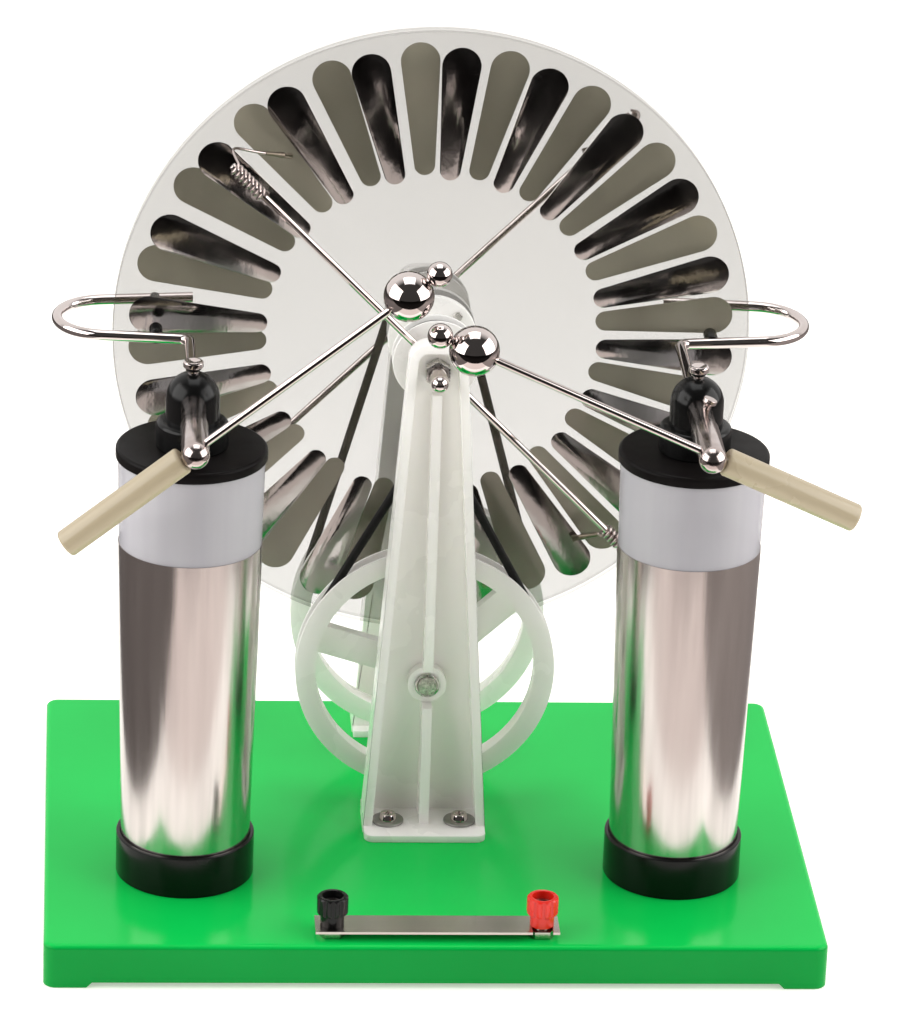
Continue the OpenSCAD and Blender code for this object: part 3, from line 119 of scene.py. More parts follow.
def soft_box(name, at, aim, width, height, watts, colour=(1, 1, 1)):
    """Rectangular lamp at a place, facing the aim point."""
    lamp = bpy.data.lights.new(name, "AREA")
    lamp.shape = "RECTANGLE"
    lamp.size = width
    lamp.size_y = height
    lamp.energy = watts
    lamp.color = colour
    box = bpy.data.objects.new(name, lamp)
    box.location = at
    box.rotation_euler = (Vector(aim) - Vector(at)).to_track_quat("-Z", "Y").to_euler()
    box.visible_camera = False
    scene.collection.objects.link(box)


LAMP_AIM = (0, 0, 0.15)
SIDE_WARMTH = (1, 0.985, 0.97)
WALL_WHITE = (1.0, 0.98, 0.96, 1)
for name, x in (("left_box", -0.95), ("right_box", 0.95)):
    soft_box(name, (x, -0.30, 0.62), LAMP_AIM, 1.2, 0.9, 12, SIDE_WARMTH)
soft_box("top_box", (0, 0.1, 1.5), LAMP_AIM, 0.9, 0.9, 6)

world = bpy.data.worlds.new("studio")
world.use_nodes = True
scene.world = world
sky = world.node_tree
direction = sky.nodes.new("ShaderNodeTexCoord")
split = sky.nodes.new("ShaderNodeSeparateXYZ")
wall = sky.nodes.new("ShaderNodeMapRange")
for socket, value in {"From Min": -0.1, "From Max": 0.45, "To Min": 0.06, "To Max": 1.05}.items():
    wall.inputs[socket].default_value = value
sky.links.new(direction.outputs["Generated"], split.inputs[0])
sky.links.new(split.outputs["Y"], wall.inputs["Value"])
sky.links.new(wall.outputs["Result"], sky.nodes["Background"].inputs["Strength"])
sky.nodes["Background"].inputs["Color"].default_value = WALL_WHITE

# Base
# One moulded tray of glossy green plastic, open below and standing on its four corners.
# Its top edge is rounded, and ribs under the top stiffen it.
BASE_W = 310
BASE_D = 230
BASE_H = 18.5
BASE_WALL = 3
CORNER_R = 5
CORNER_STEPS = 8
EDGE_R = 2
EDGE_STEPS = 6
LOWER_EDGE = 0.3
SKIRT_GAP = 2.2
CORNER_FOOT = 17
RIB_T = 2
RIB_H = 6
CROSS_RIBS = (-27.8, 46)
OVERLAP = 1
WELD = 1e-7
SHARP = 35
MARKS_BAND = (0.3, 0.7)
GLOSS_MARKS = 1.7
RELIEF_MARKS = 3.1


def surface(name, pale, dark, scale, rough=(0.2, 0.3), bump=0.0, stretch=(1, 1, 1), detail=4,
            **sockets):
    """Material with a mottled colour, an uneven gloss and a fine relief on Object coordinates.
    Scale is in marks per metre, bump in metres, and rough is the least and greatest roughness."""
    finish = plain_finish(name, **sockets)
    tree = finish.node_tree
    shader = tree.nodes["Principled BSDF"]
    place = tree.nodes.new("ShaderNodeTexCoord")
    stretched = tree.nodes.new("ShaderNodeMapping")
    stretched.inputs["Scale"].default_value = stretch
    tree.links.new(place.outputs["Object"], stretched.inputs["Vector"])

    def marks(size, seed):
        noise = tree.nodes.new("ShaderNodeTexNoise")
        noise.noise_dimensions = "4D"
        noise.inputs["W"].default_value = seed
        noise.inputs["Scale"].default_value = size
        noise.inputs["Detail"].default_value = detail
        tree.links.new(stretched.outputs[0], noise.inputs["Vector"])
        return noise.outputs["Fac"]

    ramp = tree.nodes.new("ShaderNodeValToRGB")
    for stop, position, colour in zip(ramp.color_ramp.elements, MARKS_BAND, (dark, pale)):
        stop.position = position
        stop.color = (*colour, 1)
    tree.links.new(marks(scale, 1.0), ramp.inputs["Fac"])
    tree.links.new(ramp.outputs["Color"], shader.inputs["Base Color"])
    gloss = tree.nodes.new("ShaderNodeMapRange")
    for socket, value in zip(("From Min", "From Max", "To Min", "To Max"), MARKS_BAND + rough):
        gloss.inputs[socket].default_value = value
    tree.links.new(marks(scale * GLOSS_MARKS, 5.0), gloss.inputs["Value"])
    tree.links.new(gloss.outputs["Result"], shader.inputs["Roughness"])
    if bump:
        relief = tree.nodes.new("ShaderNodeBump")
        relief.inputs["Distance"].default_value = bump
        tree.links.new(marks(scale * RELIEF_MARKS, 9.0), relief.inputs["Height"])
        tree.links.new(relief.outputs["Normal"], shader.inputs["Normal"])
    return finish


def dress(finish, *names):
    """Give these carried-over pieces their finish."""
    for name in names:
        nodes[name].material_slots[0].material = finish


def paint_side_shade(finish, share):
    """Painted shade: darken a finish's colour to this share where its surface stands upright, so
    the sides look less lit than the top.
    """
    tree = finish.node_tree
    shader = tree.nodes["Principled BSDF"]
    colour = shader.inputs["Base Color"].links[0].from_socket
    facing = tree.nodes.new("ShaderNodeTexCoord")
    parts = tree.nodes.new("ShaderNodeSeparateXYZ")
    side_shade = tree.nodes.new("ShaderNodeMapRange")
    for socket, value in {"From Min": 0.3, "From Max": 0.9, "To Min": share}.items():
        side_shade.inputs[socket].default_value = value
    product = tree.nodes.new("ShaderNodeVectorMath")
    product.operation = "SCALE"
    tree.links.new(facing.outputs["Normal"], parts.inputs[0])
    tree.links.new(parts.outputs["Z"], side_shade.inputs["Value"])
    tree.links.new(colour, product.inputs[0])
    tree.links.new(side_shade.outputs["Result"], product.inputs["Scale"])
    tree.links.new(product.outputs[0], shader.inputs["Base Color"])


def finished(name, shape, finish, body, slot, *stands_for, sharp=SHARP):
    """Turn a closed bmesh into the named piece: faces outwards, smooth but for sharp edges."""
    bmesh.ops.remove_doubles(shape, verts=shape.verts, dist=WELD)
    bmesh.ops.recalc_face_normals(shape, faces=shape.faces)
    mesh = bpy.data.meshes.new(name)
    shape.to_mesh(mesh)
    shape.free()
    return placed(name, mesh, finish, body, slot, *stands_for, sharp=sharp)


def placed(name, mesh, finish, body, slot, *stands_for, sharp=SHARP):
    """Make the named piece of a finished mesh and let it ride on its body."""
    mesh.shade_smooth()
    mesh.set_sharp_from_angle(angle=radians(sharp))
    mesh.materials.clear()
    mesh.materials.append(finish)
    piece = bpy.data.objects.new(name, mesh)
    scene.collection.objects.link(piece)
    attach(piece, body)
    if stands_for:
        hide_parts(*stands_for)
    return piece


def ring_of(shape, points):
    """New points of a shape, scaled to metres."""
    return [shape.verts.new(Vector(p) * MM) for p in points]


def bridge(shape, low, high):
    """Faces between two rings of as many points."""
    count = len(low)
    for i in range(count):
        k = (i + 1) % count
        shape.faces.new((low[i], low[k], high[k], high[i]))


def block(shape, low, high):
    """Closed box between two corners."""
    (x0, y0, z0), (x1, y1, z1) = low, high
    below = ring_of(shape, [(x0, y0, z0), (x1, y0, z0), (x1, y1, z0), (x0, y1, z0)])
    above = ring_of(shape, [(x0, y0, z1), (x1, y0, z1), (x1, y1, z1), (x0, y1, z1)])
    bridge(shape, below, above)
    shape.faces.new(below)
    shape.faces.new(above)


def base_outline(inset):
    """Points round the base, set in from its outside, the ends of its corner feet among them."""
    x, y = BASE_W / 2, BASE_D / 2
    r = CORNER_R
    foot_ends = (CORNER_FOOT, CORNER_FOOT + SKIRT_GAP)
    points = []
    for quarter in range(4):
        sx, sy = ((1, -1), (1, 1), (-1, 1), (-1, -1))[quarter]
        before = [(sx * (x - e), sy * y) if quarter % 2 == 0 else (sx * x, sy * (y - e))
                  for e in reversed(foot_ends)]
        after = [(sx * x, sy * (y - e)) if quarter % 2 == 0 else (sx * (x - e), sy * y)
                 for e in foot_ends]
        turn = [(sx * (x - r) + r * cos(a), sy * (y - r) + r * sin(a))
                for a in [pi / 2 * (quarter - 1 + i / CORNER_STEPS)
                          for i in range(CORNER_STEPS + 1)]]
        points += before + turn + after
    moved = []
    for px, py in points:
        cx = max(-x + r, min(x - r, px))
        cy = max(-y + r, min(y - r, py))
        away = hypot(px - cx, py - cy)
        moved.append((px - inset * (px - cx) / away, py - inset * (py - cy) / away))
    return moved


def skirt_foot(px, py):
    """Height of the skirt's lower edge at a place of the outline."""
    near_x = BASE_W / 2 - abs(px) <= CORNER_FOOT + 0.01
    near_y = BASE_D / 2 - abs(py) <= CORNER_FOOT + 0.01
    return 0 if near_x and near_y else SKIRT_GAP


tray = bmesh.new()
outer = base_outline(0)
low = [skirt_foot(*p) for p in outer]
levels = [(BASE_WALL, low), (LOWER_EDGE, low), (0, [z + LOWER_EDGE for z in low])]
levels += [(EDGE_R - EDGE_R * cos(a), [BASE_H - EDGE_R + EDGE_R * sin(a)] * len(outer))
           for a in [pi / 2 * i / EDGE_STEPS for i in range(EDGE_STEPS + 1)]]
levels.append((EDGE_R + 1, [BASE_H] * len(outer)))
rings = [ring_of(tray, [(*p, z) for p, z in zip(base_outline(inset), heights)])
         for inset, heights in levels]
for lower, upper in zip(rings, rings[1:]):
    bridge(tray, lower, upper)
tray.faces.new(rings[-1])
under = ring_of(tray, [(*p, BASE_H - BASE_WALL) for p in base_outline(BASE_WALL)])
bridge(tray, under, rings[0])
tray.faces.new(list(reversed(under)))
rib_from = BASE_H - BASE_WALL - RIB_H
rib_to = BASE_H - BASE_WALL + OVERLAP
for y in CROSS_RIBS:
    block(tray, (-BASE_W / 2 + BASE_WALL - OVERLAP, y - RIB_T / 2, rib_from),
          (BASE_W / 2 - BASE_WALL + OVERLAP, y + RIB_T / 2, rib_to))
for x in (-BASE_W / 4, 0, BASE_W / 4):
    block(tray, (x - RIB_T / 2, CROSS_RIBS[0], rib_from),
          (x + RIB_T / 2, BASE_D / 2 - BASE_WALL + OVERLAP, rib_to))
green_plastic = surface("green_plastic", (0.004, 0.58, 0.088), (0.003, 0.50, 0.072), 9,
                        rough=(0.12, 0.2), bump=0.00002, Specular_IOR_Level=0.11)
# Painted shade: the tray's upright sides are darkened to 0.53 of the top's colour.
paint_side_shade(green_plastic, 0.53)
finished("base_tray", tray, green_plastic, "root", "green_base", "base")

# Parts under the base
# Brass strips join the foil of each jar to its socket; plated nuts hold what stands on the base.
# They are stamped and pressed parts, screwed up from below.
CAD_WELD = 1e-6
FLAT_WITHIN = 1


def softened(name, source, finish, body, slot, width, segments=3):
    """Merged copy of a CAD piece with its edges rounded, which then stands for it."""
    shape = bmesh.new()
    shape.from_mesh(nodes[source].data)
    bmesh.ops.remove_doubles(shape, verts=shape.verts, dist=CAD_WELD)
    bmesh.ops.dissolve_limit(shape, angle_limit=radians(FLAT_WITHIN), verts=shape.verts,
                             edges=shape.edges)
    mesh = bpy.data.meshes.new(name)
    shape.to_mesh(mesh)
    shape.free()
    rough_cut = bpy.data.objects.new(name + "_cut", mesh)
    scene.collection.objects.link(rough_cut)
    round_over = rough_cut.modifiers.new("round_over", "BEVEL")
    round_over.width = width * MM
    round_over.segments = segments
    round_over.limit_method = "ANGLE"
    round_over.angle_limit = radians(SHARP)
    ready = bpy.data.meshes.new_from_object(
        rough_cut.evaluated_get(bpy.context.evaluated_depsgraph_get()))
    bpy.data.objects.remove(rough_cut)
    return placed(name, ready, finish, body, slot, source)


brass = surface("bare_brass", (0.62, 0.43, 0.17), (0.48, 0.31, 0.10), 220, rough=(0.25, 0.42),
                bump=0.00002, Metallic=1.0)
zinc_steel = surface("zinc_steel", (0.66, 0.64, 0.61), (0.48, 0.47, 0.45), 350, rough=(0.2, 0.36),
                     bump=0.00001, Metallic=1.0)
softened("jar_strips", "contact_strips", brass, "root", "brass", 0.15, segments=1)
softened("under_nuts", "base_nuts", zinc_steel, "root", "steel", 0.3, segments=2)
softened("holder_bolts", "jar_bolts", zinc_steel, "root", "steel", 0.2, segments=2)

# Uprights
# Two moulded posts of milky plastic, each a web with side ribs, a middle rib and a foot plate.
# Two screws through each foot hold them to the base.
milky = surface("milky_plastic", (0.97, 0.94, 0.91), (0.94, 0.91, 0.87), 14, rough=(0.2, 0.32),
                bump=0.00001, Subsurface_Weight=0.35, Subsurface_Scale=0.004,
                Subsurface_Radius=(1.0, 1.0, 0.9))
softened("front_post", "front_upright", milky, "root", "milky_plastic", 0.7)
softened("rear_post", "rear_upright", milky, "root", "milky_plastic", 0.7)

# Foot screws
# Bright pan-head screws with a cross recess, on wide plated washers, two in each upright's foot.
# They are turned and pressed from steel, and go down through the base into nuts.
chrome = surface("chrome_plate", (0.70, 0.63, 0.61), (0.62, 0.55, 0.53), 60, rough=(0.04, 0.08),
                 Metallic=1.0)
satin_chrome = surface("satin_chrome", (0.58, 0.50, 0.48), (0.46, 0.39, 0.37), 150,
                       rough=(0.12, 0.22), bump=0.00001, Metallic=1.0)
washer_steel = surface("washer_steel", (0.42, 0.41, 0.39), (0.32, 0.31, 0.30), 300,
                       rough=(0.3, 0.45), bump=0.00002, Metallic=1.0)
softened("foot_screws", "upright_screws", chrome, "root", "chrome", 0.35)
softened("foot_washers", "upright_washers", washer_steel, "root", "steel", 0.2, segments=2)

# Main axle
# A fixed steel rod with domed ends, held by a hexagon nut outside each upright.
# A plastic washer keeps the plates apart on it.
PLATE_Y = 44
PLATE_Z = 215.6
AXLE_R = 3.6
AXLE_HALF = 56
STRAIGHT_WITHIN = 10
MOST_OF_EDGE = 0.42
ON_AXIS = 1e-6


def pointed(origin, direction):
    """Turn and shift that lay the Z axis along a direction from a point."""
    turn = Vector(direction).to_track_quat("Z", "Y").to_matrix().to_4x4()
    return Matrix.Translation(origin) @ turn


def along(origin, direction):
    """Place whose own Z axis starts at a point in millimetres and runs along this direction."""
    return Matrix.Scale(MM, 4) @ pointed(origin, direction)


def outward(side, z):
    """Place whose own Z axis runs outwards from the plates' middle: side is 1 at the front."""
    return along((0, PLATE_Y, z), (0, -side, 0))


def eased(profile, r, closed=False, steps=3):
    """The same profile with its corners rounded to about radius r."""
    eased_line = []
    count = len(profile)
    for i, corner in enumerate(profile):
        if not closed and i in (0, count - 1):
            eased_line.append(tuple(corner))
            continue
        p = Vector(corner)
        back = Vector(profile[i - 1]) - p
        on = Vector(profile[(i + 1) % count]) - p
        turn = pi - back.angle(on)
        if turn < radians(STRAIGHT_WITHIN):
            eased_line.append(tuple(corner))
            continue
        cut = min(r * tan(turn / 2), MOST_OF_EDGE * back.length, MOST_OF_EDGE * on.length)
        start, end = p + back.normalized() * cut, p + on.normalized() * cut
        for k in range(steps + 1):
            t = k / steps
            eased_line.append(tuple((1 - t) ** 2 * start + 2 * t * (1 - t) * p + t * t * end))
    return eased_line


def bow(centre, r, first, last, steps):
    """Points of an arc in a profile, between two angles in degrees."""
    return [(centre[0] + r * cos(radians(first + (last - first) * i / steps)),
             centre[1] + r * sin(radians(first + (last - first) * i / steps)))
            for i in range(steps + 1)]


def lathe(shape, profile, place, steps=64, closed=False):
    """Turn a profile of (radius, height) round its place's own axis."""
    rings = []
    for r, h in profile:
        around = [0] if r < ON_AXIS else [2 * pi * i / steps for i in range(steps)]
        rings.append([shape.verts.new(place @ Vector((r * cos(a), r * sin(a), h)))
                      for a in around])
    for low, high in zip(rings, rings[1:] + rings[:1] if closed else rings[1:]):
        if len(low) == len(high) == 1:
            continue
        for i in range(steps):
            k = (i + 1) % steps
            corners = [low[i % len(low)], low[k % len(low)],
                       high[k % len(high)], high[i % len(high)]]
            shape.faces.new(list(dict.fromkeys(corners)))


def turned(name, profile, places, finish, body, slot, *stands_for, steps=64, closed=False):
    """Piece turned to one profile at each of these places."""
    shape = bmesh.new()
    for place in places:
        lathe(shape, profile, place, steps, closed)
    return finished(name, shape, finish, body, slot, *stands_for)


axle_line = bow((0, -AXLE_HALF), AXLE_R, -90, 0, 8) + bow((0, AXLE_HALF), AXLE_R, 0, 90, 8)
turned("plate_axle", axle_line, [outward(1, PLATE_Z)], chrome, "root", "chrome", "main_axle")
softened("axle_end_nuts", "axle_nuts", zinc_steel, "root", "chrome", 0.6)
white_plastic = surface("white_plastic", (0.93, 0.92, 0.90), (0.90, 0.89, 0.86), 30,
                        rough=(0.22, 0.32), bump=0.00002)
softened("plate_washer", "plate_spacer", white_plastic, "root", "white_plastic", 0.3)

# Plates
# Two clear acrylic discs side by side, which turn opposite ways on the axle.
# They are cut from sheet, and their sawn edges show as a grey line.
PLATE_IN = 1
PLATE_OUT = 3
PLATE_R = 129.3
SPIGOT_R = 8.05
FACE_ALPHA = 0.145
EDGE_ALPHA = 0.26
EDGE_FADE = (0.6, 0.3)
SIDES = {"front": 1, "rear": -1}

acrylic = surface("clear_acrylic", (0.10, 0.085, 0.06), (0.08, 0.068, 0.045), 20,
                  rough=(0.04, 0.07))
acrylic_tree = acrylic.node_tree
spot = acrylic_tree.nodes.new("ShaderNodeTexCoord")
flat = acrylic_tree.nodes.new("ShaderNodeVectorMath")
flat.operation = "MULTIPLY"
flat.inputs[1].default_value = (1, 0, 1)
from_axle = acrylic_tree.nodes.new("ShaderNodeVectorMath")
from_axle.operation = "DISTANCE"
from_axle.inputs[1].default_value = (0, 0, PLATE_Z * MM)
thickness = acrylic_tree.nodes.new("ShaderNodeMapRange")
for socket, value in {"From Min": (PLATE_R - EDGE_FADE[0]) * MM,
                      "From Max": (PLATE_R - EDGE_FADE[1]) * MM,
                      "To Min": FACE_ALPHA, "To Max": EDGE_ALPHA}.items():
    thickness.inputs[socket].default_value = value
acrylic_tree.links.new(spot.outputs["Object"], flat.inputs[0])
acrylic_tree.links.new(flat.outputs[0], from_axle.inputs[0])
acrylic_tree.links.new(from_axle.outputs["Value"], thickness.inputs["Value"])
acrylic_tree.links.new(thickness.outputs["Result"],
                       acrylic_tree.nodes["Principled BSDF"].inputs["Alpha"])
plate_line = eased([(SPIGOT_R, PLATE_IN), (PLATE_R, PLATE_IN), (PLATE_R, PLATE_OUT),
                    (SPIGOT_R, PLATE_OUT)], 0.4, closed=True)
for name, side in SIDES.items():
    turned(f"{name}_clear_disc", plate_line, [outward(side, PLATE_Z)], acrylic, f"{name}_disc",
           "clear_plate", f"{name}_plate", steps=256, closed=True)

# Sectors
# Twenty bright foil wedges with round ends, stuck on the outer face of each plate.
# They are cut by hand and pressed down, so every one is creased a little differently.
SECTOR_COUNT = 20
SECTOR_PHASE = 14
SECTOR_T = 0.25
GLUE = 0.05
SECTOR_OUTER = (115.1, 7.9)
SECTOR_INNER = (71.2, 4.2)
SECTOR_EDGE = 0.12
SECTOR_WALL = 0.15
FIRST_SEED = 3
BACK_TINT = (1.9, 1.93, 1.62)
BACK_METAL = 0.35
LEAST_SHADE = 0.75
GREATEST_SHADE = 1.2
MIX_A = 6
MIX_B = 7
MIX_RESULT = 2


def geometry_tree(name, *inputs):
    """New geometry tree with a Geometry socket at both ends and these named inputs."""
    tree = bpy.data.node_groups.new(name, "GeometryNodeTree")
    tree.interface.new_socket("Geometry", in_out="INPUT", socket_type="NodeSocketGeometry")
    for label, kind in inputs:
        tree.interface.new_socket(label, in_out="INPUT", socket_type=f"NodeSocket{kind}")
    tree.interface.new_socket("Geometry", in_out="OUTPUT", socket_type="NodeSocketGeometry")
    return tree


def wired(tree, *links):
    """Join outputs to inputs: each link is (node, output, node, input)."""
    for source, out, target, into in links:
        tree.links.new(source.outputs[out], target.inputs[into])


def grown(tree, mesh, **values):
    """Plain mesh that a geometry tree makes of this one."""
    seedling = bpy.data.objects.new(mesh.name, mesh)
    scene.collection.objects.link(seedling)
    growth = seedling.modifiers.new("growth", "NODES")
    growth.node_group = tree
    for item in tree.interface.items_tree:
        if item.in_out == "INPUT" and item.name in values:
            growth[item.identifier] = values[item.name]
    seedling.update_tag()
    result = bpy.data.meshes.new_from_object(
        seedling.evaluated_get(bpy.context.evaluated_depsgraph_get()))
    bpy.data.objects.remove(seedling)
    return result


ring_tree = geometry_tree("ring_of_copies", ("Count", "Int"), ("Phase", "Float"),
                          ("Step", "Float"), ("Seed", "Int"), ("Material", "Material"))
ring_node = {kind: ring_tree.nodes.new(kind) for kind in (
    "NodeGroupInput", "NodeGroupOutput", "GeometryNodePoints", "GeometryNodeInstanceOnPoints",
    "GeometryNodeInputIndex", "ShaderNodeMath", "ShaderNodeCombineXYZ",
    "FunctionNodeRandomValue", "GeometryNodeStoreNamedAttribute",
    "GeometryNodeRealizeInstances", "GeometryNodeSetMaterial")}
ring_node["ShaderNodeMath"].operation = "MULTIPLY_ADD"
ring_node["FunctionNodeRandomValue"].data_type = "FLOAT"
shade = ring_node["GeometryNodeStoreNamedAttribute"]
shade.data_type = "FLOAT"
shade.domain = "INSTANCE"
shade.inputs["Name"].default_value = "shade"
drawn = [s for s in ring_node["FunctionNodeRandomValue"].outputs if s.enabled][0]
ring_tree.links.new(drawn, [s for s in shade.inputs if s.enabled and s.name == "Value"][0])
group_in = ring_node["NodeGroupInput"]
turn_angle = ring_node["ShaderNodeMath"]
turn_about = ring_node["ShaderNodeCombineXYZ"]
copies = ring_node["GeometryNodeInstanceOnPoints"]
made_real = ring_node["GeometryNodeRealizeInstances"]
coated = ring_node["GeometryNodeSetMaterial"]
wired(ring_tree,
      (group_in, "Count", ring_node["GeometryNodePoints"], "Count"),
      (group_in, "Seed", ring_node["FunctionNodeRandomValue"], "Seed"),
      (group_in, "Material", coated, "Material"),
      (ring_node["GeometryNodeInputIndex"], 0, turn_angle, 0),
      (group_in, "Step", turn_angle, 1),
      (group_in, "Phase", turn_angle, 2),
      (turn_angle, 0, turn_about, "Y"),
      (turn_about, 0, copies, "Rotation"),
      (ring_node["GeometryNodePoints"], 0, copies, "Points"),
      (group_in, "Geometry", copies, "Instance"),
      (copies, 0, shade, "Geometry"),
      (shade, 0, made_real, "Geometry"),
      (made_real, 0, coated, "Geometry"),
      (coated, 0, ring_node["NodeGroupOutput"], "Geometry"))

sector_foil = surface("sector_foil", (0.44, 0.415, 0.395), (0.32, 0.30, 0.285), 45,
                      rough=(0.08, 0.22), bump=0.0002, stretch=(1, 1, 0.6), detail=3,
                      Metallic=1.0)
foil_tree = sector_foil.node_tree
foil_shader = foil_tree.nodes["Principled BSDF"]
polish = foil_shader.inputs["Base Color"].links[0].from_socket
copy_shade = foil_tree.nodes.new("ShaderNodeAttribute")
copy_shade.attribute_name = "shade"
lighter = foil_tree.nodes.new("ShaderNodeMix")
lighter.data_type = "RGBA"
lighter.blend_type = "MULTIPLY"
lighter.inputs["Factor"].default_value = 1.0
tone = foil_tree.nodes.new("ShaderNodeMapRange")
tone.inputs["To Min"].default_value = LEAST_SHADE
tone.inputs["To Max"].default_value = GREATEST_SHADE
glued = foil_tree.nodes.new("ShaderNodeAttribute")
glued.attribute_name = "glued"
backed = foil_tree.nodes.new("ShaderNodeMix")
backed.data_type = "RGBA"
underside = foil_tree.nodes.new("ShaderNodeVectorMath")
underside.operation = "MULTIPLY"
underside.inputs[1].default_value = BACK_TINT
matte = foil_tree.nodes.new("ShaderNodeMapRange")
matte.inputs["To Min"].default_value = 1.0
matte.inputs["To Max"].default_value = BACK_METAL
wired(foil_tree,
      (copy_shade, "Fac", tone, "Value"),
      (tone, "Result", lighter, MIX_B),
      (lighter, MIX_RESULT, backed, MIX_A),
      (lighter, MIX_RESULT, underside, 0),
      (underside, 0, backed, MIX_B),
      (glued, "Fac", backed, "Factor"),
      (backed, MIX_RESULT, foil_shader, "Base Color"),
      (glued, "Fac", matte, "Value"),
      (matte, 0, foil_shader, "Metallic"))
foil_tree.links.new(polish, lighter.inputs[MIX_A])


def sector_mesh(side):
    """One wedge of foil at its distance from the axle, flat on the outer face of its plate."""
    (outer_at, outer_r), (inner_at, inner_r) = SECTOR_OUTER, SECTOR_INNER
    half = degrees(asin((outer_r - inner_r) / (outer_at - inner_at)))
    line = (bow((outer_at, 0), outer_r, -90 - half, 90 + half, 20)
            + bow((inner_at, 0), inner_r, 90 + half, 270 - half, 14))
    middle = (outer_at + inner_at) / 2
    shape = bmesh.new()
    stuck = shape.faces.layers.float.new("glued")
    rings = []
    for inset, height in ((0, GLUE), (0, SECTOR_WALL), (SECTOR_EDGE, SECTOR_T)):
        y = -side * (PLATE_OUT + height)
        scale = 1 - inset / outer_r
        rings.append(ring_of(shape, [(side * (middle + (x - middle) * scale), y, z * scale)
                                     for x, z in line]))
    for low, high in zip(rings, rings[1:]):
        bridge(shape, low, high)
    shape.faces.new(rings[-1])
    back = shape.faces.new(rings[0])
    back[stuck] = 1.0
    bmesh.ops.recalc_face_normals(shape, faces=shape.faces)
    mesh = bpy.data.meshes.new("sector")
    shape.to_mesh(mesh)
    shape.free()
    return mesh


for seed, (name, side) in enumerate(SIDES.items(), FIRST_SEED):
    ring = grown(ring_tree, sector_mesh(side), Count=SECTOR_COUNT, Seed=seed,
                 Phase=-side * radians(SECTOR_PHASE), Step=-side * 2 * pi / SECTOR_COUNT,
                 Material=sector_foil)
    ring.transform(Matrix.Translation((0, PLATE_Y * MM, PLATE_Z * MM)))
    placed(f"{name}_foil_sectors", ring, sector_foil, f"{name}_disc", "foil", f"{name}_sectors")

# Hub pulleys
# Each plate is clamped to a turned white pulley with a wide flange and a grooved wheel.
# Four small screws hold the flange to the plate, and a belt runs in the groove.
HUB_BORE = 3.65
HUB_SPIGOT_R = 8
FLANGE_R = 18
FLANGE_OUT = 6
BARREL_R = 10.5
PULLEY_R = 17.5
PULLEY_IN = 24
PULLEY_OUT = 32
GROOVE_R = 12.5
hub_line = eased([(HUB_BORE, PLATE_IN), (HUB_SPIGOT_R, PLATE_IN), (HUB_SPIGOT_R, PLATE_OUT),
                  (FLANGE_R, PLATE_OUT), (FLANGE_R, FLANGE_OUT), (BARREL_R, FLANGE_OUT),
                  (BARREL_R, PULLEY_IN), (PULLEY_R, PULLEY_IN), (PULLEY_R, 25.1),
                  (GROOVE_R, 26.25), (GROOVE_R, 29.75), (PULLEY_R, 30.9),
                  (PULLEY_R, PULLEY_OUT), (HUB_BORE, PULLEY_OUT)], 0.45, closed=True)
for name, side in SIDES.items():
    turned(f"{name}_hub", hub_line, [outward(side, PLATE_Z)], white_plastic, f"{name}_disc",
           "white_plastic", f"{name}_hub_pulley", steps=96, closed=True)
    softened(f"{name}_hub_heads", f"{name}_hub_screws", zinc_steel, f"{name}_disc", "steel", 0.3)

# Drive wheels
# Two moulded wheels of the same milky plastic, three flat spokes each and a groove round the rim.
# A set screw in each hub holds it to the drive axle.
DRIVE_Z = 79.9
black_steel = surface("black_steel", (0.035, 0.034, 0.036), (0.018, 0.018, 0.019), 200,
                      rough=(0.3, 0.45), bump=0.00001, Metallic=0.4)
softened("front_wheel", "front_drive_wheel", milky, "drive", "milky_plastic", 0.5)
softened("rear_wheel", "rear_drive_wheel", milky, "drive", "milky_plastic", 0.5)
shaft_steel = surface("shaft_steel", (0.80, 0.75, 0.72), (0.35, 0.32, 0.30), 900,
                      rough=(0.2, 0.5), bump=0.0002, Metallic=1.0)
softened("drive_shaft", "drive_axle", shaft_steel, "drive", "steel", 0.5)
softened("wheel_set_screws", "set_screws", black_steel, "drive", "black_steel", 0.15, segments=1)
softened("shaft_rings", "axle_rings", zinc_steel, "drive", "black_steel", 0.25, segments=2)

# Belts
# Round black rubber cord in the grooves: crossed at the front, so that plate turns the other way.
# Each is one length, joined end to end.
BELT_R = 1.8
BELT_OUT = 28
PULLEY_BELT_R = 14.6
WHEEL_BELT_R = 50.3
BELT_SIDES = 20
TUBE_SHARP = 60
CROSS_SHIFT = 2.15
PULLEY_STEPS = 24
WHEEL_STEPS = 48
STRAND_STEPS = 16

swept_tree = geometry_tree("swept_tube", ("Radius", "Float"), ("Sides", "Int"),
                           ("Material", "Material"))
tube_node = {kind: swept_tree.nodes.new(kind) for kind in (
    "NodeGroupInput", "NodeGroupOutput", "GeometryNodeMeshToCurve", "GeometryNodeSetCurveRadius",
    "GeometryNodeInputNamedAttribute", "GeometryNodeCurvePrimitiveCircle",
    "GeometryNodeCurveToMesh", "GeometryNodeRealizeInstances", "GeometryNodeSetMaterial")}
group_in = tube_node["NodeGroupInput"]
path = tube_node["GeometryNodeMeshToCurve"]
sized = tube_node["GeometryNodeSetCurveRadius"]
share_of_r = tube_node["GeometryNodeInputNamedAttribute"]
circle = tube_node["GeometryNodeCurvePrimitiveCircle"]
skin = tube_node["GeometryNodeCurveToMesh"]
made_real = tube_node["GeometryNodeRealizeInstances"]
coated = tube_node["GeometryNodeSetMaterial"]
share_of_r.data_type = "FLOAT"
share_of_r.inputs["Name"].default_value = "thick"
skin.inputs["Fill Caps"].default_value = True
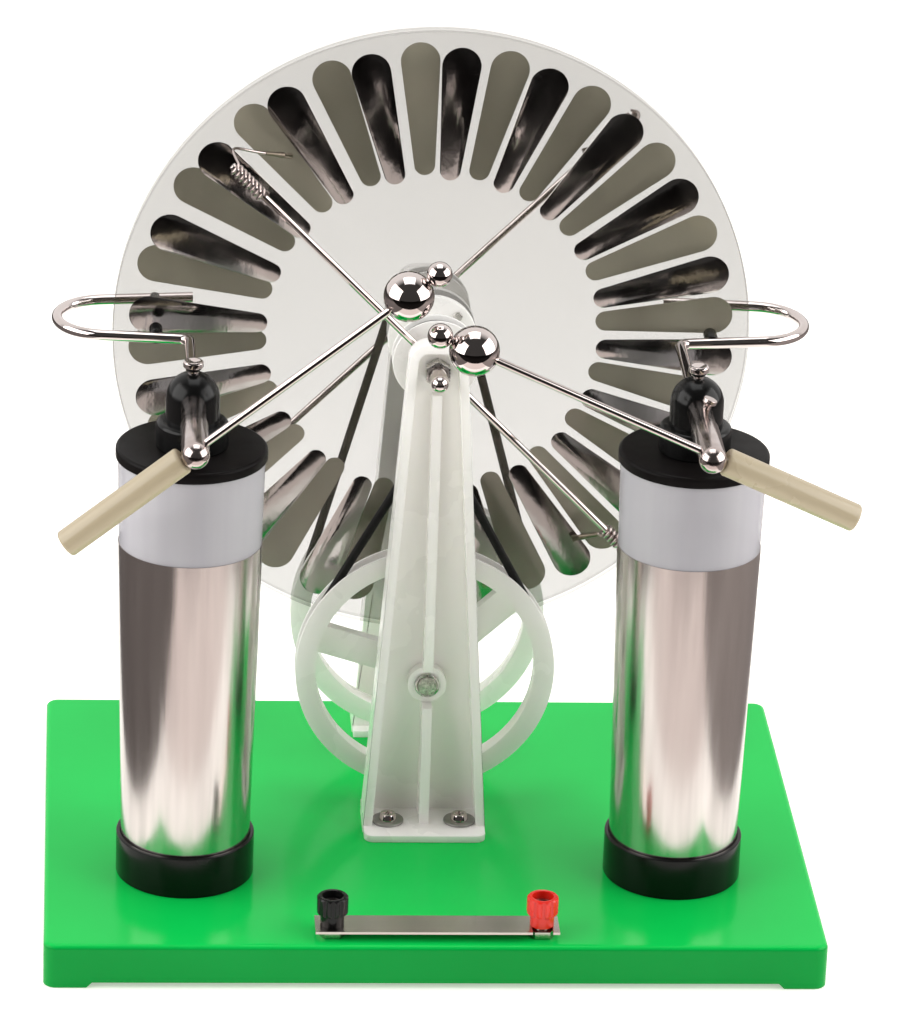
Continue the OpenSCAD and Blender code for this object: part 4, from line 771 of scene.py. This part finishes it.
wired(swept_tree,
      (group_in, "Geometry", path, "Mesh"),
      (path, 0, sized, "Curve"),
      (share_of_r, "Attribute", sized, "Radius"),
      (group_in, "Radius", circle, "Radius"),
      (group_in, "Sides", circle, "Resolution"),
      (sized, 0, skin, "Curve"),
      (circle, 0, skin, "Profile Curve"),
      (skin, 0, made_real, "Geometry"),
      (made_real, 0, coated, "Geometry"),
      (group_in, "Material", coated, "Material"),
      (coated, 0, tube_node["NodeGroupOutput"], "Geometry"))


def swept(shape, line, r, sides, finish, looped=False, thick=None):
    """Add a round tube to a shape, along a line of points in metres; thick scales its radius."""
    count = len(line)
    runs = [(i, (i + 1) % count) for i in range(count if looped else count - 1)]
    mesh = bpy.data.meshes.new("line")
    mesh.from_pydata(line, runs, [])
    shares = mesh.attributes.new("thick", "FLOAT", "POINT")
    shares.data.foreach_set("value", thick or [1.0] * count)
    tube = grown(swept_tree, mesh, Radius=r * MM, Sides=sides, Material=finish)
    shape.from_mesh(tube)
    bpy.data.meshes.remove(tube)


def belt_arc(r, z, first, last, steps):
    """Belt points round a wheel's middle."""
    return [Vector((r * cos(first + (last - first) * i / steps), -BELT_OUT,
                    z + r * sin(first + (last - first) * i / steps))) for i in range(steps + 1)]


def strand(start, end, share, shift):
    """Inner points of a straight run, bowed sideways most where it passes the other one."""
    run = []
    for i in range(1, STRAND_STEPS):
        u = i / STRAND_STEPS
        w = u / share if u < share else (1 - u) / (1 - share)
        run.append(start.lerp(end, u) + Vector((0, shift * w ** 3 * (4 - 3 * w), 0)))
    return run


def belt_line(lean, crossed):
    """Closed middle line of a belt, front side outwards along -Y from the plates' middle."""
    if not crossed:
        top = belt_arc(PULLEY_BELT_R, PLATE_Z, lean, pi - lean, PULLEY_STEPS)
        foot = belt_arc(WHEEL_BELT_R, DRIVE_Z, pi - lean, 2 * pi + lean, WHEEL_STEPS)
        return top + strand(top[-1], foot[0], 0.5, 0) + foot + strand(foot[-1], top[0], 0.5, 0)
    top = belt_arc(PULLEY_BELT_R, PLATE_Z, -lean, pi + lean, PULLEY_STEPS + 4)
    foot = belt_arc(WHEEL_BELT_R, DRIVE_Z, lean, -pi - lean, WHEEL_STEPS + 8)
    share = PULLEY_BELT_R / (PULLEY_BELT_R + WHEEL_BELT_R)
    return (top + strand(top[-1], foot[0], share, CROSS_SHIFT)
            + foot + strand(foot[-1], top[0], 1 - share, -CROSS_SHIFT))


rubber = surface("belt_rubber", (0.009, 0.008, 0.008), (0.004, 0.004, 0.004), 300,
                 rough=(0.45, 0.65), bump=0.00003, Specular_IOR_Level=0.2)
AXLE_STEP = PLATE_Z - DRIVE_Z
for name, side, lean in (
        ("front", 1, asin((WHEEL_BELT_R + PULLEY_BELT_R) / AXLE_STEP)),
        ("rear", -1, asin((WHEEL_BELT_R - PULLEY_BELT_R) / AXLE_STEP))):
    belt = bmesh.new()
    line = [Vector((side * p.x, PLATE_Y + side * p.y, p.z)) * MM
            for p in belt_line(lean, side == 1)]
    swept(belt, line, BELT_R, BELT_SIDES, rubber, looped=True)
    finished(f"{name}_cord", belt, rubber, "root", "belt_rubber", f"{name}_belt",
             sharp=TUBE_SHARP)

# Crank
# A flat black arm on the drive axle behind the machine, with a grip that turns on its pin.
# The photograph doesn't show it; its kind is usual on these machines.
black_plastic = surface("black_plastic", (0.007, 0.007, 0.007), (0.003, 0.003, 0.003), 60,
                        rough=(0.16, 0.26), bump=0.00001, Specular_IOR_Level=0.22)
softened("crank_lever", "crank_arm", black_steel, "drive", "black_steel", 0.8)
softened("grip_pin", "crank_pin", zinc_steel, "drive", "steel", 0.4)
softened("crank_grip_turned", "crank_handle", black_plastic, "crank_grip", "black_plastic", 1.0)

# Brush rods
# A plated rod in two arms is pressed into a turned collar on the axle at each side.
# A fine wire is wound round each end and bends back to a small brush that touches the sectors.
ROD_OUT = 35.5
ROD_R = 1.5
ROD_END = 118
ROD_ANGLE = 45
COLLAR_IN, COLLAR_OUT = 33, 38
COLLAR_R = 7.5
WIRE_R = 0.6
COIL_R = 2.4
COIL_FROM = 100
COIL_TURNS = 8
COIL_PITCH = 2.1
COIL_STEPS = 16
BEND_STEPS = 20
WIRE_SIDES = 12
WIRE_GAP = 0.05
WIRE_REACH = (14, 13)
BRUSH_TIPS = (Vector((ROD_END - 13.5, -3.55, -21.3)), Vector((ROD_END - 24.5, -3.55, -14.3)))
BRUSH_LEANS = (Vector((-0.3, 0.5, -0.83)).normalized(),
               Vector((-0.785, 0.44, -0.445)).normalized())
FERRULE_L = 8.5
FERRULE_DEPTH = 0.4
BRISTLES = 30
TUFT_R = 1.5
TUFT_L = 4
ROOT_SPREAD = 0.75
TIP_SPREAD = 1.38
TIP_BEYOND = 0.35
BRISTLE_R = (0.13, 0.1)
GOLDEN_TURN = 2.39996


def brush_place(side, i):
    """Place with its X axis along a brush rod's arm and its own Y towards the plates."""
    facing = Matrix.Identity(4) if side == 1 else Matrix.Rotation(pi, 4, "Z")
    return (Matrix.Scale(MM, 4) @ Matrix.Translation((0, PLATE_Y, PLATE_Z)) @ facing
            @ Matrix.Rotation(radians(ROD_ANGLE + 180 * i), 4, "Y"))


def ferrule_end(i):
    """Mouth of a brush's ferrule, so far from the plate that the slanting bristles just reach."""
    lean = BRUSH_LEANS[i]
    lift = TUFT_R * sqrt(1 - lean.y ** 2) / lean.y
    return BRUSH_TIPS[i] - (TUFT_L + lift) * lean


def wire_line(i):
    """Middle line of a brush wire: its coil on the rod, then a loose bend to the ferrule."""
    coil = [Vector((COIL_FROM + COIL_PITCH * k / COIL_STEPS,
                    COIL_R * cos(3 * pi / 2 + 2 * pi * k / COIL_STEPS) - ROD_OUT,
                    COIL_R * sin(3 * pi / 2 + 2 * pi * k / COIL_STEPS)))
            for k in range(COIL_TURNS * COIL_STEPS + 1)]
    lead = [coil[0] - Vector((0, 4 * WIRE_R, 0)), coil[0] - Vector((0, 2 * WIRE_R, 0))]
    lean = BRUSH_LEANS[i]
    last = ferrule_end(i) - (FERRULE_L + WIRE_GAP) * lean
    first = coil[-1]
    pulls = (first + Vector((WIRE_REACH[0] / 2, WIRE_REACH[0], 0)), last - WIRE_REACH[1] * lean)
    bend = []
    for k in range(1, BEND_STEPS + 1):
        u = k / BEND_STEPS
        bend.append((1 - u) ** 3 * first + 3 * u * (1 - u) ** 2 * pulls[0]
                    + 3 * u * u * (1 - u) * pulls[1] + u ** 3 * last)
    return lead + coil + bend


dull_brass = surface("dull_brass", (0.26, 0.22, 0.17), (0.13, 0.105, 0.08), 500,
                     rough=(0.3, 0.45), bump=0.00002, Metallic=1.0)
ferrule_line = eased([(0, 0), (0.85, 0), (0.95, 4.6), (1.3, 7.2), (1.3, FERRULE_L),
                      (0.95, FERRULE_L), (0.9, FERRULE_L - FERRULE_DEPTH),
                      (0, FERRULE_L - FERRULE_DEPTH)], 0.12)
rod_line = eased([(0, AXLE_R + 0.1), (ROD_R, AXLE_R + 0.1), (ROD_R, ROD_END), (0, ROD_END)], 0.4)
collar_line = eased([(AXLE_R + 0.05, COLLAR_IN), (COLLAR_R, COLLAR_IN), (COLLAR_R, COLLAR_OUT),
                     (AXLE_R + 0.05, COLLAR_OUT)], 0.5, closed=True)
for name, side in SIDES.items():
    body = f"{name}_neutralizer"
    rods = bmesh.new()
    wires = bmesh.new()
    tufts = bmesh.new()
    lathe(rods, collar_line, outward(side, PLATE_Z), closed=True)
    for i in (0, 1):
        place = brush_place(side, i)
        lathe(rods, rod_line, place @ pointed((0, -ROD_OUT, 0), (1, 0, 0)), 32)
        swept(wires, [place @ p for p in wire_line(i)], WIRE_R, WIRE_SIDES, satin_chrome)
        mouth = ferrule_end(i)
        lean = BRUSH_LEANS[i]
        lathe(tufts, ferrule_line, place @ pointed(mouth - FERRULE_L * lean, lean), 24)
        spread = place @ pointed(mouth - FERRULE_DEPTH * lean, lean)
        for k in range(BRISTLES):
            out = sqrt((k + 0.5) / BRISTLES)
            outwards = Vector((out * cos(GOLDEN_TURN * k), out * sin(GOLDEN_TURN * k), 0))
            root = ROOT_SPREAD * outwards
            tip = TIP_SPREAD * outwards + Vector((0, 0, TUFT_L + TIP_BEYOND))
            length = (tip - root).length
            lathe(tufts, [(0, 0), (BRISTLE_R[0], 0), (BRISTLE_R[1], length), (0, length)],
                  spread @ pointed(root, tip - root), 4)
    finished(f"{name}_rod_arms", rods, chrome, body, "chrome", f"{name}_brush_rods")
    finished(f"{name}_coiled_wires", wires, satin_chrome, body, "spring_steel",
             f"{name}_brush_wires", sharp=TUBE_SHARP)
    finished(f"{name}_tufts", tufts, dull_brass, body, "brass", f"{name}_brushes")

# Jars
# Two clear beakers, wider at the mouth, in black holders bolted to the base.
# Foil is glued round each one inside and out, and leaves a clear band below the lid.
JAR_X = 98.6
JAR_Y = -46.5
JAR_BOTTOM, JAR_TOP = 21.35, 198.25
JAR_R = (25.3, 28.9)
JAR_WALL = 1.3
JAR_FLOOR = 2
FOIL_TOP = 162.65
FOIL_T = 0.25
FOIL_STEPS = 12
HOLDER_R = 27.7
HOLDER_TOP = 36.0
HOLDER_FLOOR = 2.5
BOLT_HOLE_R = 2.2
BOLT_SINK_R = 4.4
JAR_SIDES = {"left": -1, "right": 1}


def jar_r(z):
    """Outside radius of a jar at a height."""
    return JAR_R[0] + (JAR_R[1] - JAR_R[0]) * (z - JAR_BOTTOM) / (JAR_TOP - JAR_BOTTOM)


def upright_at(side):
    """Place on a jar's axis with Z up."""
    return Matrix.Scale(MM, 4) @ Matrix.Translation((side * JAR_X, JAR_Y, 0))


both_jars = [upright_at(-1), upright_at(1)]
holder_bore = jar_r(HOLDER_TOP) + FOIL_T + 3 * GLUE
holder_line = eased([(BOLT_HOLE_R, BASE_H), (HOLDER_R, BASE_H), (HOLDER_R, HOLDER_TOP),
                     (holder_bore, HOLDER_TOP), (holder_bore, BASE_H + HOLDER_FLOOR),
                     (BOLT_SINK_R, BASE_H + HOLDER_FLOOR), (BOLT_HOLE_R, BASE_H + 0.5)],
                    0.5, closed=True)
turned("holder_cups", holder_line, both_jars, black_plastic, "root", "black_plastic",
       "jar_holders", steps=96, closed=True)
jar_plastic = surface("jar_plastic", (0.56, 0.55, 0.58), (0.48, 0.47, 0.51), 60,
                      rough=(0.12, 0.2), stretch=(1, 1, 0.05), Alpha=0.66)
jar_line = eased([(0, JAR_BOTTOM), (JAR_R[0], JAR_BOTTOM), (JAR_R[1], JAR_TOP),
                  (JAR_R[1] - JAR_WALL, JAR_TOP),
                  (jar_r(JAR_BOTTOM + JAR_FLOOR) - JAR_WALL, JAR_BOTTOM + JAR_FLOOR),
                  (0, JAR_BOTTOM + JAR_FLOOR)], 0.5)
for name, side in JAR_SIDES.items():
    turned(f"{name}_beaker", jar_line, [upright_at(side)], jar_plastic, "root", "jar_plastic",
           f"{name}_jar", steps=96)
jar_foil = surface("jar_foil", (0.62, 0.575, 0.55), (0.52, 0.475, 0.455), 160,
                   rough=(0.14, 0.24), bump=0.00005, stretch=(1, 1, 0.06), Metallic=1.0)


def foil_line(offset, bottom):
    """Profile of a foil cup whose inside lies this far from the jar's outside."""
    low = jar_r(bottom + FOIL_T) + offset
    high = jar_r(FOIL_TOP) + offset
    outside = [(low + FOIL_T + (high - low) * i / FOIL_STEPS,
                bottom + (FOIL_TOP - bottom) * i / FOIL_STEPS) for i in range(FOIL_STEPS + 1)]
    inside = [(high, FOIL_TOP), (low, bottom + FOIL_T), (0, bottom + FOIL_T)]
    return [(0, bottom)] + outside + inside


turned("outer_wraps", foil_line(GLUE, JAR_BOTTOM - FOIL_T - GLUE), both_jars, jar_foil, "root",
       "jar_foil", "outer_foils", steps=96)
turned("inner_wraps", foil_line(-JAR_WALL - FOIL_T - GLUE, JAR_BOTTOM + JAR_FLOOR + GLUE),
       both_jars, jar_foil, "root", "jar_foil", "inner_foils", steps=96)
softened("rod_contacts", "inner_contacts", brass, "root", "brass", 0.3, segments=2)

# Lids and domes
# A black pressed lid closes each jar, and a moulded dome on it holds the fork and the spark tube.
# A bright thumb screw goes into the dome's top.
LID_BOTTOM, LID_TOP = 198.3, 202.7
LID_R = 29.8
LID_ROUND = 1.4
LID_PLUG_R = 27
LID_PLUG_H = 2.5
DOME_FOOT = 202.75
DOME_FOOT_R = 14.2
DOME_STEP = 213.65
DOME_STEP_ROUND = 2
DOME_R = 10.55
DOME_MIDDLE = 222.9
DOME_Z = 222.7
lid_black = surface("lid_black", (0.008, 0.007, 0.007), (0.005, 0.004, 0.004), 90,
                    rough=(0.28, 0.36), bump=0.00001, Specular_IOR_Level=0.06)
lid_line = (eased([(0, LID_BOTTOM - LID_PLUG_H), (LID_PLUG_R, LID_BOTTOM - LID_PLUG_H),
                   (LID_PLUG_R, LID_BOTTOM), (LID_R, LID_BOTTOM),
                   (LID_R, LID_TOP - LID_ROUND - 0.4)], 0.4)
            + bow((LID_R - LID_ROUND, LID_TOP - LID_ROUND), LID_ROUND, 0, 90, 7)
            + [(0, LID_TOP)])
dome_line = (eased([(0, DOME_FOOT), (DOME_FOOT_R, DOME_FOOT), (DOME_FOOT_R, 210)], 0.6)
             + bow((DOME_FOOT_R - DOME_STEP_ROUND, DOME_STEP - DOME_STEP_ROUND),
                   DOME_STEP_ROUND, 0, 80, 7)
             + [(DOME_R, DOME_STEP)] + bow((0, DOME_MIDDLE), DOME_R, 0, 90, 14))
screw_line = eased([(0, 227.8), (2.3, 227.8), (2.3, 234.05), (4, 235.85), (4, 237.65),
                    (3.4, 238.25), (2.8, 238.25), (0, 237.05)], 0.25)
for name, side in JAR_SIDES.items():
    turned(f"{name}_cover", lid_line, [upright_at(side)], lid_black, "root", "black_plastic",
           f"{name}_lid", steps=96)
    turned(f"{name}_bell", dome_line, [upright_at(side)], black_plastic, "root",
           "black_plastic", f"{name}_dome")
turned("thumb_screws", screw_line, both_jars, chrome, "root", "chrome", "dome_screws")

# Collector forks
# A plated rod from each dome bends round the plates' edge and holds two black pins beside it.
# The pins stand close to the sectors and take their charge without touching.
FORK_Z = 221.1
FORK_R = 2.2
FORK_MIDDLE = 90.5
FORK_SPREAD = 6
FORK_CORNER = (4, 63.32, 4)
FORK_BEND = (33, 20)
FORK_START = (0, 1.05)
FORK_TIP = (-2, 114.29)
FORK_SIDES = 32
FORK_SHARP = 50
FORK_ENDS = [(-0.9, 1.0), (-0.45, 0.93), (-0.15, 0.75), (0, 0.5)]
fork_path = [FORK_START]
fork_path += bow(FORK_CORNER[:2], FORK_CORNER[2], 180, 90 + FORK_SPREAD, 12)
fork_path += bow((FORK_BEND[0], FORK_MIDDLE), FORK_BEND[1], FORK_SPREAD - 90,
                 90 - FORK_SPREAD, 36)
arm_start = Vector(fork_path[-1])
arm_run = Vector(FORK_TIP) - arm_start
fork_path += [tuple(arm_start + arm_run * (1 + back / arm_run.length)) for back, _ in FORK_ENDS]
fork_thick = [1.0] * (len(fork_path) - len(FORK_ENDS)) + [share for _, share in FORK_ENDS]
for name, side in JAR_SIDES.items():
    fork = bmesh.new()
    line = [Vector((side * (JAR_X + x), JAR_Y + y, FORK_Z)) * MM for x, y in fork_path]
    swept(fork, line, FORK_R, FORK_SIDES, chrome, thick=fork_thick)
    finished(f"{name}_bent_rod", fork, chrome, "root", "chrome", f"{name}_fork",
             sharp=FORK_SHARP)
softened("collector_studs", "collector_pins", black_plastic, "root", "black_plastic", 0.5)

# Spark rods
# A plated tube from each dome carries a sliding rod with two balls at its end.
# Its ivory plastic handle is pushed on behind; the tube turns in the dome to lower the rod.
PIVOT_Y = -100.5
TUBE_NECK_R = 4.8
TUBE_R = 5.45
TUBE_MIDDLE = 58.5
TUBE_SCREW_Y = -63.05
TUBE_SCREW_H = 4.4
TUBE_SCREW_LEAN = 22
RISES = {"left": 38.7, "right": 24.3}
HANDLE_FROM, HANDLE_TO = 5.9, 62.9
HANDLE_R = 5.5
SLIDER_R = 1.55
BIG_BALL = (101.5, 9.7)
SMALL_BALL = (115.9, 4.9)
NECK_R = 1.8
GRIPPED = 22.8
ivory = surface("ivory_plastic", (0.42, 0.355, 0.245), (0.405, 0.34, 0.23), 20, rough=(0.2, 0.28),
                bump=0.00001)
tube_line = ([(0, 2.1), (TUBE_NECK_R, 2.1), (TUBE_NECK_R, 28), (TUBE_R, 30)]
             + bow((0, TUBE_MIDDLE), TUBE_R, 0, 90, 14))
tube_screw_line = eased([(0, 0), (1.7, 0), (1.7, 1.47), (2.8, 2.64), (2.8, TUBE_SCREW_H),
                         (0, TUBE_SCREW_H)], 0.3)
slider_line = ([(0, -HANDLE_FROM - GRIPPED), (SLIDER_R, -HANDLE_FROM - GRIPPED)]
               + bow((0, BIG_BALL[0]), BIG_BALL[1],
                     degrees(asin(SLIDER_R / BIG_BALL[1])) - 90,
                     90 - degrees(asin(NECK_R / BIG_BALL[1])), 32)
               + bow((0, SMALL_BALL[0]), SMALL_BALL[1],
                     degrees(asin(NECK_R / SMALL_BALL[1])) - 90, 90, 20))
handle_line = eased([(0, HANDLE_FROM), (HANDLE_R, HANDLE_FROM), (HANDLE_R, HANDLE_TO),
                     (0, HANDLE_TO)], 1.3, steps=6)
for name, side in JAR_SIDES.items():
    rise = radians(RISES[name])
    rod_way = Vector((-side * cos(rise), 0, sin(rise)))
    pivot = (side * JAR_X, PIVOT_Y, DOME_Z)
    tube = bmesh.new()
    lathe(tube, tube_line, along((side * JAR_X, JAR_Y, DOME_Z), (0, -1, 0)))
    if side == 1:
        tilt = Vector((sin(radians(TUBE_SCREW_LEAN)), 0, cos(radians(TUBE_SCREW_LEAN))))
        foot = Vector((JAR_X, TUBE_SCREW_Y, DOME_Z)) + TUBE_SCREW_H * tilt
        lathe(tube, tube_screw_line, along(foot, tilt), 32)
    finished(f"{name}_sleeve", tube, satin_chrome, f"{name}_arm", "chrome", f"{name}_spark_tube")
    turned(f"{name}_ball_rod", slider_line, [along(pivot, rod_way)], chrome, f"{name}_rod",
           "chrome", f"{name}_spark_rod")
    turned(f"{name}_grip", handle_line, [along(pivot, -rod_way)], ivory, f"{name}_rod",
           "ivory_plastic", f"{name}_handle")

# Sockets
# Two plated socket posts stand in hexagon nuts at the front and take plugs.
# A loose link joins them, and a fluted cap on each, one black and one red, screws down on it.
nickel = surface("nickel_plate", (0.52, 0.47, 0.44), (0.48, 0.43, 0.40), 30, rough=(0.2, 0.26),
                 Metallic=1.0)
dress(nickel, "link_strip", "socket_posts")
red_plastic = surface("red_plastic", (0.72, 0.018, 0.008), (0.62, 0.012, 0.005), 80,
                      rough=(0.22, 0.32), Subsurface_Weight=0.15, Subsurface_Scale=0.002)
softened("black_nut_cap", "black_cap", black_plastic, "black_knob", "black_cap", 0.25)
softened("red_nut_cap", "red_cap", red_plastic, "red_knob", "red_cap", 0.25)
